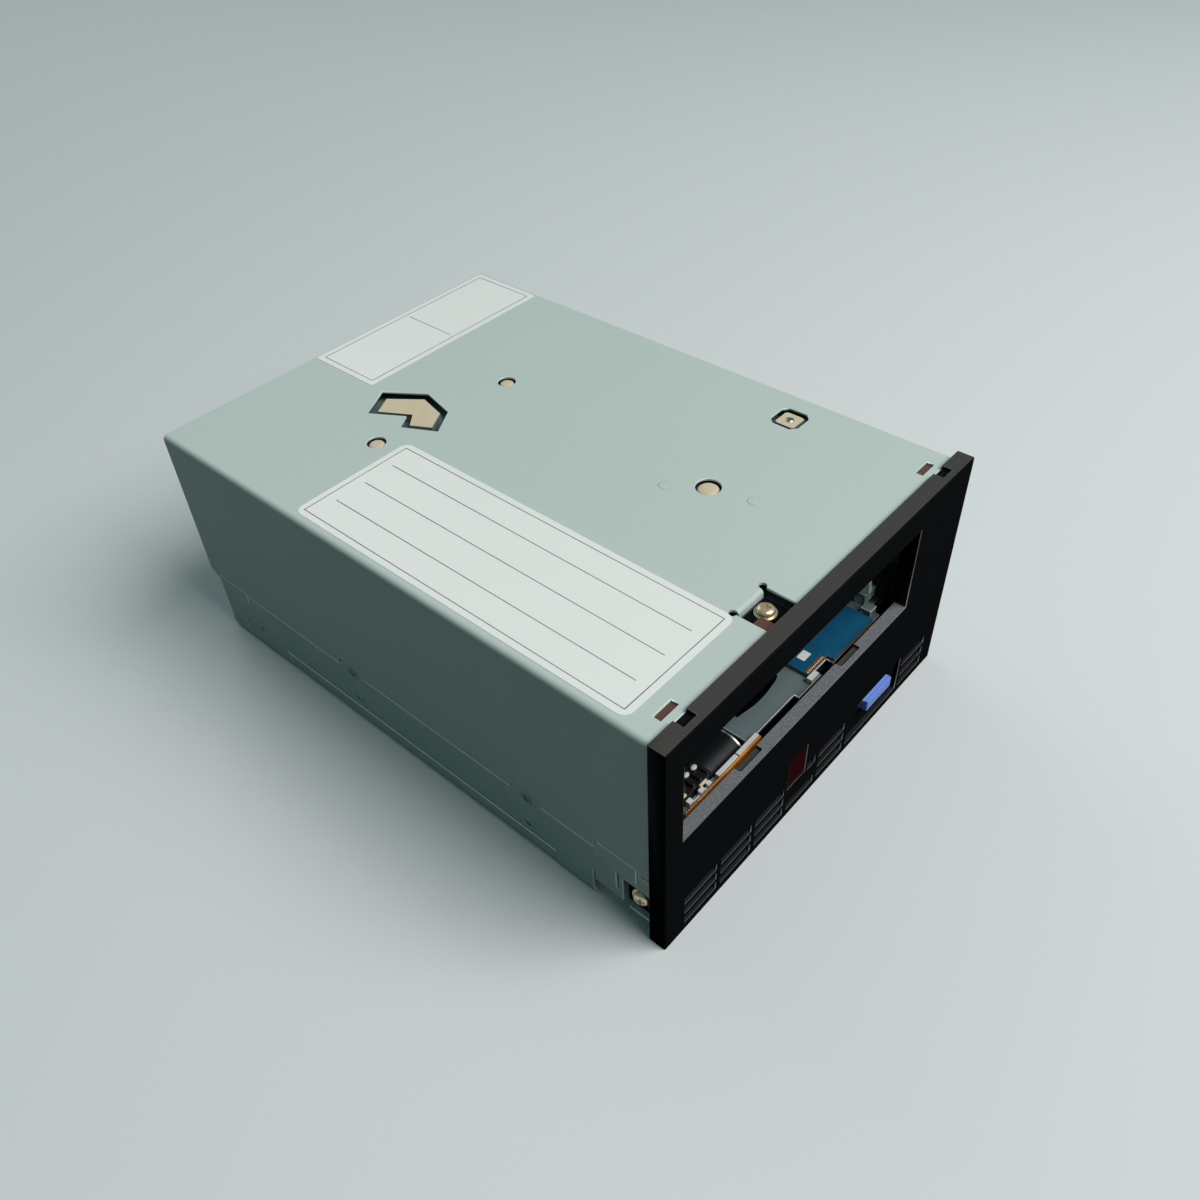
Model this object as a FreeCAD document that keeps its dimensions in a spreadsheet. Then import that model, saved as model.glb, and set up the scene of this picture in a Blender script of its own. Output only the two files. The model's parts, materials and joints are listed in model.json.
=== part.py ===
import FreeCAD, Part
import math
import os
import re

import Sketcher
from FreeCAD import Placement, Rotation, Vector

# Full-height 5.25 inch data tape drive, in millimetres.
# Lengths below are measured from the bay datum: X = 0 at the middle of the drive, Y = 0 at the bezel's
# back face and rising towards the rear, Z = 0 at the underside.  Every sub-part is then placed so that
# the model's own origin is the centre of the four bottom mounting holes.

# ---------------------------------------------------------------------------------------------------
# Driving dimensions
# ---------------------------------------------------------------------------------------------------
SIZES = {
    # Enclosure
    "cover_width": 146.0,
    "cover_height": 82.5,
    "cover_depth": 205.3,
    "cover_sheet": 0.8,
    "cover_bend": 1.8,
    "seam_height": 23.5,
    "fit_gap": 0.3,
    "slip_gap": 0.1,
    "tray_sheet": 0.8,
    "skin_inset": 0.5,
    "joggle": 0.3,
    "joggle_height": 6.5,
    "tray_front": 0.7,
    "tray_inset": 3.0,
    "lap_height": 6.0,
    "rear_inset": 5.1,
    # Standard mounting holes of a 5.25 inch bay
    "hole_front_y": 47.4,
    "hole_pitch_y": 79.25,
    "hole_low_z": 9.92,
    "hole_pitch_z": 11.92,
    "bottom_hole_x": 69.85,
    "tapped_radius": 1.25,
    "nut_plate": 1.5,
    # Bezel
    "bezel_margin": 1.1,
    "bezel_drop": 1.0,
    "bezel_rise": 1.5,
    "bezel_depth": 5.8,
    "bezel_wall": 2.6,
    "bezel_rim": 2.0,
    "mouth_centre": -10.8,
    "mouth_width": 112.2,
    "mouth_floor": 43.4,
    "mouth_height": 30.6,
    "ledge_depth": 4.1,
    "ledge_slot": 1.0,
    "vent_pitch": 16.72,
    "vent_first": -65.3,
    "vent_width": 14.2,
    "vent_rise": 4.68,
    "vent_base": 2.8,
    "vent_gap": 2.6,
    "window_left": -15.8,
    "window_width": 9.3,
    "window_low": 13.0,
    "window_height": 12.5,
    "button_recess_left": 18.5,
    "button_recess_width": 31.2,
    "button_recess_top": 17.0,
    "button_recess_depth": 1.4,
    "button_left": 26.6,
    "button_width": 14.7,
    "button_low": 12.3,
    "button_height": 4.3,
    "button_proud": 1.7,
    "button_travel": 1.2,
    # Screws
    "screw_head": 2.6,
    "screw_head_height": 1.7,
    "washer_radius": 3.2,
    "washer_sheet": 0.6,
    "screw_shank": 1.45,
    "top_screw_x": -17.0,
    "top_screw_y": 6.4,
    "side_screw_y": 4.6,
    "side_screw_z": 12.6,
    # Deck and roof plate
    "deck_top": 38.5,
    "deck_thick": 3.0,
    "deck_rib": 5.0,
    "deck_front": 14.0,
    "deck_inset": 9.3,
    "roof_top": 78.4,
    "roof_sheet": 1.0,
    "post_radius": 3.0,
    # Cartridge and its lift
    "cart_width": 105.4,
    "lift_sheet": 1.0,
    "lift_floor": 45.5,
    "lift_height": 25.0,
    "lift_front": 14.0,
    "lift_rear": 92.0,
    "lift_drop": 6.0,
    "cam_travel": 18.0,
    "cam_sheet": 1.2,
    "guide_sheet": 1.2,
    "pin_radius": 1.5,
    "pin_front_y": 30.0,
    "pin_rear_y": 78.0,
    "pin_height": 61.0,
    "stud_height": 70.5,
    "crossbar_low": 74.2,
    # Loader gears: module in mm and tooth counts
    "rack_module": 0.8,
    "rack_pinion_teeth": 10,
    "gear_module": 0.5,
    "cross_gear_teeth": 24,
    "idler_teeth": 40,
    "motor_pinion_teeth": 10,
    "cross_shaft_y": 36.0,
    "cross_shaft_z": 32.0,
    "motor_front": 1.0,
    "motor_length": 17.0,
    "motor_radius": 8.0,
    "gear_face": 3.0,
    "gear_right": -47.0,
    "axle_radius": 1.5,
    "running_gap": 0.05,
    # Reels
    "supply_y": 55.0,
    "takeup_y": 152.0,
    "spindle_radius": 3.0,
    "clutch_radius": 17.0,
    "reel_hub": 22.0,
    "reel_flange": 42.0,
    "reel_low": 43.8,
    "flange_sheet": 1.2,
    "tape_room": 13.5,
    "rotor_radius": 22.0,
    "rotor_low": 16.0,
    "rotor_height": 17.5,
    "bearing_tube": 6.0,
    # Tape path
    "roller_radius": 5.0,
    "roller_flange": 6.2,
    "roller_low": 44.5,
    "roller_height": 15.0,
    "roller_pin": 1.5,
    "head_y": 134.0,
    "head_face": 57.5,
    "head_rod": 1.2,
    "head_rod_x": 67.2,
    "head_rod_pitch": 9.0,
    "threader_x": 11.0,
    "threader_y": 128.0,
    "threader_reach": 40.0,
    "threader_park": -30.0,
    # Boards and connectors
    "board_low": 8.0,
    "board_sheet": 1.6,
    "front_board_top": 40.0,
    "front_board_sheet": 1.4,
    "lever_y": 8.6,
    "lever_z": 41.4,
}

# Roller positions along the tape path, from the cartridge to the take-up reel.
ROLLERS = [(57.0, 108.0), (63.0, 120.0), (63.0, 148.0), (52.0, 161.0)]
# The roof plate's rivets: x, y, radius of the hole above each in the cover.
RIVETS = [(20.05, 139.0, 3.1), (-31.6, 146.4, 3.2), (14.8, 49.2, 4.0)]

doc = FreeCAD.newDocument("TapeDrive")
sheet = doc.addObject("Spreadsheet::Sheet", "Sizes")
for row, (alias, value) in enumerate(SIZES.items(), start=1):
    sheet.set(f"A{row}", alias)
    sheet.set(f"B{row}", str(value))
    sheet.setAlias(f"B{row}", alias)
doc.recompute()

DATUM_Y = "(hole_front_y + hole_pitch_y / 2)"
# Places that follow from the sizes above.
TRAY_REAR = "(cover_depth - tray_inset)"
REAR_WALL = "(cover_depth - rear_inset)"
DECK_REAR = "(cover_depth - deck_inset)"
MOTOR_Y = "(motor_front + motor_radius)"
SUBPARTS = []
CUTS = []


# ---------------------------------------------------------------------------------------------------
# Helpers
# ---------------------------------------------------------------------------------------------------
def bound(expression):
    """The same expression with each alias pointing at the sheet."""
    return re.sub(
        r"[a-z]\w*",
        lambda word: f"Sizes.{word[0]}" if word[0] in SIZES else word[0],
        str(expression),
    )


def num(expression):
    """The present value of an expression of aliases."""
    return float(sheet.evalExpression(bound(expression)))


def tie(obj, name, expression):
    """Binds a property or a constraint of an object to the sheet."""
    obj.setExpression(name, bound(expression))


def finish(obj, label, x="0", y="0", z="0", turn=None):
    """Names a sub-part and places it in the model's frame."""
    obj.Label = label
    if turn is not None:
        obj.Placement = Placement(Vector(), turn)
    tie(obj, "Placement.Base.x", x)
    tie(obj, "Placement.Base.y", f"{y} - {DATUM_Y}")
    tie(obj, "Placement.Base.z", z)
    SUBPARTS.append(obj)
    return obj


def put_shape(shape, label):
    """Stores a computed shape, given in the bay datum, as a sub-part."""
    obj = doc.addObject("Part::Feature", label)
    obj.Shape = shape
    return finish(obj, label)


def box(x0, x1, y0, y1, z0, z1):
    """A Part box between six bound planes, in the bay datum."""
    obj = doc.addObject("Part::Box", "Block")
    for name, low, high in (("Length", x0, x1), ("Width", y0, y1), ("Height", z0, z1)):
        tie(obj, name, f"({high}) - ({low})")
    for axis, low in (("x", x0), ("y", y0), ("z", z0)):
        tie(obj, f"Placement.Base.{axis}", low)
    return obj


TURNS = {
    "X": Rotation(Vector(0, 1, 0), 90),
    "Y": Rotation(Vector(1, 0, 0), -90),
    "Z": Rotation(),
}


def rod(axis, radius, x, y, z, length):
    """A Part cylinder that starts at a bound point and runs along an axis."""
    obj = doc.addObject("Part::Cylinder", "Rod")
    obj.Placement = Placement(Vector(), TURNS[axis])
    tie(obj, "Radius", radius)
    tie(obj, "Height", length)
    for name, at in (("x", x), ("y", y), ("z", z)):
        tie(obj, f"Placement.Base.{name}", at)
    return obj


def fuse(*shapes):
    obj = doc.addObject("Part::MultiFuse", "Join")
    obj.Shapes = list(shapes)
    obj.Refine = True
    return obj


def cut(base, *tools):
    obj = doc.addObject("Part::Cut", "Trim")
    obj.Base = base
    obj.Tool = tools[0] if len(tools) == 1 else fuse(*tools)
    return obj


def block(label, x0, x1, y0, y1, z0, z1):
    """A whole sub-part that is one plain block."""
    obj = box("0", f"({x1}) - ({x0})", "0", f"({y1}) - ({y0})", "0", f"({z1}) - ({z0})")
    return finish(obj, label, x0, y0, z0)


def new_body():
    return doc.addObject("PartDesign::Body", "Body")


def new_sketch(body, plane, offset):
    """A sketch on one of the body's origin planes, moved along that plane's axis."""
    sketch = body.newObject("Sketcher::SketchObject", "Sketch")
    role = f"{plane}_Plane"
    base = [item for item in body.Origin.OriginFeatures if item.Role == role][0]
    sketch.AttachmentSupport = (base, [""])
    sketch.MapMode = "FlatFace"
    sign = "-" if plane == "XZ" else ""
    tie(sketch, "AttachmentOffset.Base.z", f"{sign}({offset})")
    return sketch


def outline(sketch, points):
    """A closed run of lines whose corners are all tied to the sheet."""
    values = [Vector(num(x), num(y), 0) for x, y in points]
    count = len(points)
    lines = [Part.LineSegment(values[i], values[(i + 1) % count]) for i in range(count)]
    ids = sketch.addGeometry(lines, False)
    joins = [Sketcher.Constraint("Coincident", ids[i], 2, ids[(i + 1) % count], 1) for i in range(count)]
    sketch.addConstraint(joins)
    for line, point, value in zip(ids, points, values):
        for kind, expression, present in (("DistanceX", point[0], value.x), ("DistanceY", point[1], value.y)):
            index = sketch.addConstraint(Sketcher.Constraint(kind, -1, 1, line, 1, present))
            tie(sketch, f"Constraints[{index}]", expression)


def rect(sketch, x0, x1, y0, y1):
    outline(sketch, [(x0, y0), (x1, y0), (x1, y1), (x0, y1)])


def circle(sketch, x, y, radius):
    centre = Vector(num(x), num(y), 0)
    shape = sketch.addGeometry(Part.Circle(centre, Vector(0, 0, 1), num(radius)), False)
    for kind, expression, present in (("DistanceX", x, centre.x), ("DistanceY", y, centre.y)):
        index = sketch.addConstraint(Sketcher.Constraint(kind, -1, 1, shape, 3, present))
        tie(sketch, f"Constraints[{index}]", expression)
    index = sketch.addConstraint(Sketcher.Constraint("Radius", shape, num(radius)))
    tie(sketch, f"Constraints[{index}]", radius)


def pad(body, plane, low, high, draw):
    """Adds a prism between two planes across an axis; draw() fills its sketch."""
    sketch = new_sketch(body, plane, low)
    draw(sketch)
    feature = body.newObject("PartDesign::Pad", "Pad")
    feature.Profile = sketch
    tie(feature, "Length", f"({high}) - ({low})")
    feature.Reversed = plane == "XZ"
    return feature


def pocket(body, plane, low, high, draw):
    """Removes a prism between two planes across an axis."""
    sketch = new_sketch(body, plane, low)
    draw(sketch)
    feature = body.newObject("PartDesign::Pocket", "Pocket")
    feature.Profile = sketch
    tie(feature, "Length", f"({high}) - ({low})")
    feature.Reversed = plane != "XZ"
    CUTS.append(feature)
    return feature


def revolve(body, points):
    """Turns a half section in the XZ plane round the body's Z axis."""
    sketch = new_sketch(body, "XZ", "0")
    outline(sketch, points)
    feature = body.newObject("PartDesign::Revolution", "Turned")
    feature.Profile = sketch
    feature.ReferenceAxis = (sketch, ["V_Axis"])
    feature.Angle = 360
    return feature


def polar(body, feature, count):
    """Repeats a feature round the body's Z axis."""
    pattern = body.newObject("PartDesign::PolarPattern", "Ring")
    pattern.Originals = [feature]
    axis = [item for item in body.Origin.OriginFeatures if item.Role == "Z_Axis"][0]
    pattern.Axis = (axis, [""])
    pattern.Angle = 360
    pattern.Occurrences = count
    body.Tip = pattern
    return pattern


def linear(body, feature, steps):
    """Repeats a feature along X, and along Z too when a second (pitch, count) is given."""
    pattern = body.newObject("PartDesign::LinearPattern", "Row")
    pattern.Originals = [feature]
    axes = {item.Role: item for item in body.Origin.OriginFeatures}
    for suffix, role, (pitch, count) in zip(("", "2"), ("X_Axis", "Z_Axis"), steps):
        setattr(pattern, f"Direction{suffix}", (axes[role], [""]))
        setattr(pattern, f"Mode{suffix}", "Spacing")
        setattr(pattern, f"Occurrences{suffix}", count)
        tie(pattern, f"Offset{suffix}", pitch)
    body.Tip = pattern
    return pattern


def fillet(body, feature, radius, pick):
    """Rounds the edges for which pick(edge) is true."""
    doc.recompute()
    names = [f"Edge{i}" for i, edge in enumerate(feature.Shape.Edges, start=1) if pick(edge)]
    rounding = body.newObject("PartDesign::Fillet", "Round")
    rounding.Base = (feature, names)
    tie(rounding, "Radius", radius)
    return rounding


def is_along(edge, axis):
    """Is this edge a straight one along the given axis?"""
    if edge.Curve.TypeId != "Part::GeomLine":
        return False
    return abs(edge.Curve.Direction.dot(axis)) > 0.999


def mirrored(side, low, high):
    """A range of x on the right, or its mirror image on the left."""
    return (low, high) if side > 0 else (f"-({high})", f"-({low})")


# ---------------------------------------------------------------------------------------------------
# Enclosure
# ---------------------------------------------------------------------------------------------------
def make_top_cover():
    """Folded sheet cover with the openings over the roof plate's pads, rivets and front screw."""
    body = new_body()
    half, inner = "cover_width / 2", "cover_width / 2 - cover_sheet"
    high, under = "cover_height", "cover_height - cover_sheet"

    def section(sketch):
        outline(sketch, [
            (f"-({half})", "seam_height"), (f"-({half})", high), (half, high), (half, "seam_height"),
            (inner, "seam_height"), (inner, under), (f"-({inner})", under), (f"-({inner})", "seam_height"),
        ])

    shell = pad(body, "XZ", "0", "cover_depth", section)
    y_axis = Vector(0, 1, 0)
    top, below = num(high) - 0.01, num(under)
    outer = fillet(body, shell, "cover_bend", lambda e: is_along(e, y_axis) and e.BoundBox.ZMin > top)
    fillet(body, outer, "cover_bend - cover_sheet", lambda e: is_along(e, y_axis)
           and abs(e.BoundBox.ZMin - below) < 0.01 and abs(abs(e.BoundBox.XMin) - num(inner)) < 0.01)

    def top_holes(sketch):
        outline(sketch, [
            ("-10.4", "168.5"), ("-1.9", "154.7"), ("-5.3", "141.2"), ("-15.2", "135.3"),
            ("-21.0", "146.8"), ("-15.5", "150.3"), ("-22.3", "162.0"),
        ])
        for x, y, radius in RIVETS:
            circle(sketch, x, y, radius)
        for x in (-61.9, 61.9):
            rect(sketch, x - 3.45, x + 3.45, 2.75, 5.15)
        outline(sketch, [
            ("54.65", "47.45"), ("56.65", "45.45"), ("62.95", "45.45"), ("64.95", "47.45"),
            ("64.95", "53.75"), ("62.95", "55.75"), ("56.65", "55.75"), ("54.65", "53.75"),
        ])

    pocket(body, "XY", f"{under} - 1", f"{high} + 1", top_holes)
    pocket(body, "XY", f"{under} - 1", f"{high} + 1", lambda s: rect(s, "-24.9", "-11.2", "-1", "11.5"))
    for x in ("-24.9", "-11.2"):
        pocket(body, "XY", f"{under} - 1", f"{high} + 1", lambda s: circle(s, x, "11.5", "1.2"))
    # The tongue bent down at the back of the front cut-out.
    tongue = pad(body, "YZ", "-23.6", "-12.5", lambda s: outline(s, [
        ("12.2", high), ("10.3", high), ("10.3", "cover_height - 2.8"),
        ("10.3 + cover_sheet", "cover_height - 2.8"), ("10.3 + cover_sheet", under), ("12.2", under)]))
    x_axis = Vector(1, 0, 0)
    fillet(body, tongue, "1.5 * cover_sheet", lambda e: is_along(e, x_axis) and e.BoundBox.ZMin > top
           and abs(e.BoundBox.YMin - 10.3) < 0.01)

    def edge_notches(sketch):
        low = "seam_height - 1"
        tab = "hole_low_z + hole_pitch_z + 4.6"
        for y in ("hole_front_y", "hole_front_y + hole_pitch_y"):
            outline(sketch, [(f"{y} - 6.6", low), (f"{y} + 5.7", low), (f"{y} + 5.7", "seam_height + 0.9"),
                             (f"{y} + 4.4", tab), (f"{y} - 5.3", tab), (f"{y} - 6.6", "seam_height + 0.9")])
        rect(sketch, "5.0", "20.3", low, "seam_height + 3.4")
        rect(sketch, "0.6", "3.7", low, "seam_height + 2.0")
        rect(sketch, f"{TRAY_REAR} - 18", f"{TRAY_REAR} - 1", low, "seam_height + 1.4")
        outline(sketch, [("cover_depth - 3.2", low), ("cover_depth + 1", low),
                         ("cover_depth + 1", "seam_height + 3.5"), ("cover_depth - 3.2", "seam_height - 0.6")])

    pocket(body, "YZ", f"-({half}) - 1", f"{half} + 1", edge_notches)
    finish(body, "top_cover")


def make_bottom_tray():
    """Folded pan with extruded screw holes, joggled sides, locating lips and board standoffs."""
    body = new_body()
    skin = "cover_width / 2 - skin_inset"
    lap = "cover_width / 2 - cover_sheet - slip_gap"
    seam = "seam_height - slip_gap"
    rear_hole = "hole_front_y + hole_pitch_y"

    def section(sketch):
        right = [
            (skin, "0"), (skin, seam), (lap, seam), (lap, f"{seam} + lap_height"),
            (f"{lap} - tray_sheet", f"{seam} + lap_height"), (f"{lap} - tray_sheet", f"{seam} - tray_sheet"),
            (f"{skin} - tray_sheet", f"{seam} - tray_sheet"), (f"{skin} - tray_sheet", "tray_sheet"),
        ]
        left = [(f"-({x})", z) for x, z in reversed(right)]
        outline(sketch, right + left)

    pad(body, "XZ", "tray_front", TRAY_REAR, section)
    for side in (-1, 1):
        band = mirrored(side, f"{skin} - joggle", f"{skin} + 1")
        pocket(body, "XZ", "36.5", f"{TRAY_REAR} - 35.3", lambda s: rect(s, *band, "-1", "joggle_height"))
        inner = mirrored(side, f"{skin} - tray_sheet - joggle", f"{skin} - tray_sheet")
        pad(body, "XZ", "36.5", f"{TRAY_REAR} - 35.3",
            lambda s: rect(s, *inner, "tray_sheet", "joggle_height"))

        # Screw holes: a welded nut plate behind the sheet gives the thread its length.
        plate = mirrored(side, f"{skin} - tray_sheet - nut_plate", f"{skin} - tray_sheet / 2")

        def side_holes(sketch):
            for y in ("hole_front_y", rear_hole):
                for z in ("hole_low_z", "hole_low_z + hole_pitch_z"):
                    circle(sketch, y, z, "tapped_radius")

        def bottom_holes(sketch):
            for y in ("hole_front_y", rear_hole):
                circle(sketch, f"{side} * bottom_hole_x", y, "tapped_radius")

        tab = mirrored(side, f"{skin} - tray_sheet", skin)
        for y in ("hole_front_y", rear_hole):
            top = "hole_low_z + hole_pitch_z + 4.3"
            pad(body, "YZ", *plate, lambda s: rect(s, f"{y} - 4.5", f"{y} + 4.5", "joggle_height", top))
            pad(body, "YZ", *tab, lambda s: outline(s, [
                (f"{y} - 6.3", f"{seam} - 1"), (f"{y} + 5.4", f"{seam} - 1"),
                (f"{y} + 5.4", "seam_height + 0.8"), (f"{y} + 4.1", top), (f"{y} - 5.0", top),
                (f"{y} - 6.3", "seam_height + 0.8"),
            ]))
            foot = mirrored(side, "bottom_hole_x - 4", f"{skin} - tray_sheet - joggle")
            pad(body, "XY", "tray_sheet / 2", "tray_sheet + nut_plate",
                lambda s: rect(s, *foot, f"{y} - 4", f"{y} + 4"))
        through = mirrored(side, f"{skin} - 6", f"{skin} + 1")
        pocket(body, "YZ", *through, side_holes)
        pocket(body, "XY", "-1", "tray_sheet + 4", bottom_holes)

        # Lips that stand outside the cover's edge at the front and the rear.
        lip = mirrored(side, lap, f"{lap} + tray_sheet")
        pad(body, "YZ", *lip, lambda s: rect(s, "5.3", "20.0", f"{seam} - 4", "seam_height + 3.1"))
        pad(body, "YZ", *lip,
            lambda s: rect(s, f"{TRAY_REAR} - 17.7", f"{TRAY_REAR} - 1.3", f"{seam} - 4", "seam_height + 1.1"))

        # Front corner: window over the bezel's screw, raised lower edge and relief slots.
        def corner(sketch):
            rect(sketch, "-1", "10.5", "6.0", "16.5")
            rect(sketch, "12.2", "13.0", "10.0", "17.6")
            rect(sketch, "21.2", "22.0", "1.0", "9.9")
            rect(sketch, f"{TRAY_REAR} - 11.3", f"{TRAY_REAR} - 10.3", "1.4", "8.9")
            circle(sketch, f"{TRAY_REAR} - 20.5", "8.5", "0.9")

        pocket(body, "YZ", *mirrored(side, f"{skin} - tray_sheet - 0.2", f"{skin} + 1"), corner)
        pocket(body, "YZ", *mirrored(side, "66.0", f"{skin} + 1"),
               lambda s: rect(s, "-1", "21.2", "-1", "6.0"))
        pad(body, "XY", "0", "5.2", lambda s: rect(s, *mirrored(side, "65.2", "66.0"), "tray_front", "8.5"))
        pad(body, "XY", "4.4", "5.2", lambda s: rect(s, *mirrored(side, "66.0", skin), "tray_front", "8.5"))

    def standoffs(sketch):
        for x in ("-50", "50"):
            for y in ("36", f"{REAR_WALL} - 20.2"):
                circle(sketch, x, y, "2.6")

    pad(body, "XY", "tray_sheet", "board_low", standoffs)
    finish(body, "bottom_tray")


def make_rear_panel():
    """Vented rear wall with cut-outs for the connectors."""
    body = new_body()
    edge = "cover_width / 2 - cover_sheet - tray_sheet - 2 * slip_gap"
    back = f"{REAR_WALL} + cover_sheet"
    roof = "cover_height - cover_sheet"
    pad(body, "XZ", REAR_WALL, back, lambda s: rect(s, f"-({edge})", edge, "tray_sheet", roof))
    for side in (-1, 1):
        flange = mirrored(side, f"{edge} - cover_sheet", edge)
        pad(body, "XZ", f"{REAR_WALL} - 8", REAR_WALL, lambda s: rect(s, *flange, "tray_sheet", "70"))
    pad(body, "XZ", f"{REAR_WALL} - 8", REAR_WALL,
        lambda s: rect(s, "-66", "66", f"{roof} - cover_sheet", roof))

    def openings(sketch):
        rect(sketch, "-56.6", "4.6", "8.6", "21.4")
        rect(sketch, "33.4", "56.6", "8.6", "20.9")
        rect(sketch, "11.4", "27.1", "8.6", "16.4")

    near, far = f"{REAR_WALL} - 0.5", f"{back} + 1"
    pocket(body, "XZ", near, far, openings)
    vent = pocket(body, "XZ", near, far, lambda s: rect(s, "-62.5", "-53.5", "31", "34.4"))
    linear(body, vent, [("12.9", 10), ("12.0", 4)])
    finish(body, "rear_panel")


# ---------------------------------------------------------------------------------------------------
# Front
# ---------------------------------------------------------------------------------------------------
def make_front_bezel():
    """Moulded front: cartridge mouth, louvres, display window, button recess and fixing ears."""
    body = new_body()
    half = "(cover_width / 2 + bezel_margin)"
    low, high = "-bezel_drop", "cover_height + bezel_rise"
    left = "mouth_centre - mouth_width / 2"
    right = "mouth_centre + mouth_width / 2"
    mouth_top = "mouth_floor + mouth_height"
    front = "-bezel_depth"
    inner_wall = "bezel_wall - bezel_depth"

    plate = pad(body, "XZ", front, "0", lambda s: rect(s, f"-({half})", half, low, high))
    nose = -num("bezel_depth")
    fillet(body, plate, "0.6", lambda e: e.BoundBox.YMax < nose + 0.01)

    def hollow(sketch):
        side = f"{half} - bezel_rim"
        outline(sketch, [
            (f"-({side})", f"{low} + bezel_rim"), (side, f"{low} + bezel_rim"), (side, f"{high} - bezel_rim"),
            (f"-({side})", f"{high} - bezel_rim"), (f"-({side})", f"{mouth_top} + bezel_rim"),
            (f"{right} + bezel_rim", f"{mouth_top} + bezel_rim"),
            (f"{right} + bezel_rim", "mouth_floor - bezel_rim"),
            (f"-({side})", "mouth_floor - bezel_rim"),
        ])

    pocket(body, "XZ", inner_wall, "1", hollow)
    pocket(body, "XZ", f"{front} - 1", "1", lambda s: rect(s, left, right, "mouth_floor", mouth_top))
    ledge_back = "ledge_depth - bezel_depth"
    pocket(body, "XZ", ledge_back, "1",
           lambda s: rect(s, left, right, "mouth_floor - bezel_rim - 1", "mouth_floor + 1"))
    for x in ("-39.6", "11.0"):
        slot = pocket(body, "XY", "mouth_floor - ledge_slot", "mouth_floor + 1",
                      lambda s: rect(s, x, f"{x} + 10.4", f"{ledge_back} - 2.3", f"{ledge_back} + 1"))
        slot_front = num(f"{ledge_back} - 2.3")
        fillet(body, slot, "0.7", lambda e: is_along(e, Vector(0, 0, 1))
               and e.BoundBox.ZMin > num("mouth_floor - ledge_slot") - 0.01
               and e.BoundBox.ZMax < num("mouth_floor") + 0.01
               and abs(e.BoundBox.YMin - slot_front) < 0.01
               and num(x) - 0.01 < e.BoundBox.XMin < num(f"{x} + 10.4") + 0.01)

    def louvre(bay, first, count, x0, steps):
        """One run of louvres: a slot in a bay, repeated upwards and along the front."""
        x1 = f"vent_first + {bay} * vent_pitch + vent_width"
        z0 = f"vent_base + {first} * vent_rise"
        slot = pocket(body, "XZ", f"{front} - 1", f"{inner_wall} + 1",
                      lambda s: rect(s, x0, x1, z0, f"{z0} + vent_gap"))
        linear(body, slot, [(f"{steps[0]} * vent_pitch", steps[1]), ("vent_rise", count)])

    louvre(0, 0, 4, "vent_first", (1, 3))
    louvre(4, 0, 4, "vent_first + 4 * vent_pitch", (3, 2))
    louvre(3, 0, 2, "vent_first + 3 * vent_pitch", (1, 1))
    louvre(3, 2, 2, "window_left + window_width + 1.6", (1, 1))
    window_right = "window_left + window_width"
    window_top = "window_low + window_height"
    pocket(body, "XZ", f"{front} - 1", f"{inner_wall} + 1",
           lambda s: rect(s, "window_left", window_right, "window_low", window_top))
    recess_right = "button_recess_left + button_recess_width"
    pocket(body, "XZ", f"{front} - 1", f"{front} + button_recess_depth",
           lambda s: rect(s, "button_recess_left", recess_right, "vent_base", "button_recess_top"))
    pocket(body, "XZ", f"{front} - 1", f"{inner_wall} + 1",
           lambda s: rect(s, "button_left - fit_gap", "button_left + button_width + fit_gap",
                          "button_low - fit_gap", "button_low + button_height + fit_gap"))

    def top_notches(sketch):
        for x in (-61.9, 61.9):
            rect(sketch, x - 2.5, x + 2.5, -3.3, 1)

    pocket(body, "XY", f"{high} - 1.4", f"{high} + 1", top_notches)

    # Ears for the side screws, the tongue under the top screw, and posts that carry the panel board.
    for side in (-1, 1):
        ear = mirrored(side, "69.2", "70.9")
        pad(body, "YZ", *ear, lambda s: rect(s, "-3.3", "10.0", "5.6", "17.5"))
        hole = mirrored(side, "68.2", "71.9")
        pocket(body, "YZ", *hole, lambda s: circle(s, "side_screw_y", "side_screw_z", "screw_shank + fit_gap"))
    tongue = "roof_top + 1.2"
    pad(body, "XY", "roof_top", tongue,
        lambda s: rect(s, "top_screw_x - 7.4", "top_screw_x + 5.3", f"{inner_wall} - 0.2", "10.1"))
    pocket(body, "XY", "roof_top - 1", f"{tongue} + 1",
           lambda s: circle(s, "top_screw_x", "top_screw_y", "screw_shank + fit_gap"))

    def posts(sketch):
        for x, z in ((-22, 33), (54, 33), (10, 34), (54, 10)):
            circle(sketch, x, z, 1.8)

    pad(body, "XZ", f"{inner_wall} - 0.2", "3.0", posts)
    finish(body, "front_bezel")


def make_display_window():
    """Tinted window with a rim that bears on the back of the bezel's front wall."""
    inner_wall = "bezel_wall - bezel_depth"
    lens = box("window_left + slip_gap", "window_left + window_width - slip_gap",
               "0.4 - bezel_depth", inner_wall,
               "window_low + slip_gap", "window_low + window_height - slip_gap")
    rim = box("window_left - 1.3", "window_left + window_width + 1.3", inner_wall, f"{inner_wall} + 1",
              "window_low - 1.3", "window_low + window_height + 1.3")
    finish(fuse(lens, rim), "display_window")


def make_eject_button():
    """Bar button with a retaining shoulder and a plunger that reaches the switch."""
    right = "button_left + button_width"
    top = "button_low + button_height"
    inner_wall = "bezel_wall - bezel_depth"
    cap = box("button_left", right, "-bezel_depth - button_proud", f"{inner_wall} + fit_gap",
              "button_low", top)
    shoulder = box("button_left - 1.5", f"{right} + 1.5", f"{inner_wall} + fit_gap", f"{inner_wall} + 1.6",
                   "button_low - 1.4", f"{top} + 1.4")
    plunger = rod("Y", "1.5", "button_left + button_width / 2", f"{inner_wall} + 1.6",
                  "button_low + button_height / 2", "1.4")
    finish(fuse(cap, shoulder, plunger), "eject_button")


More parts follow.
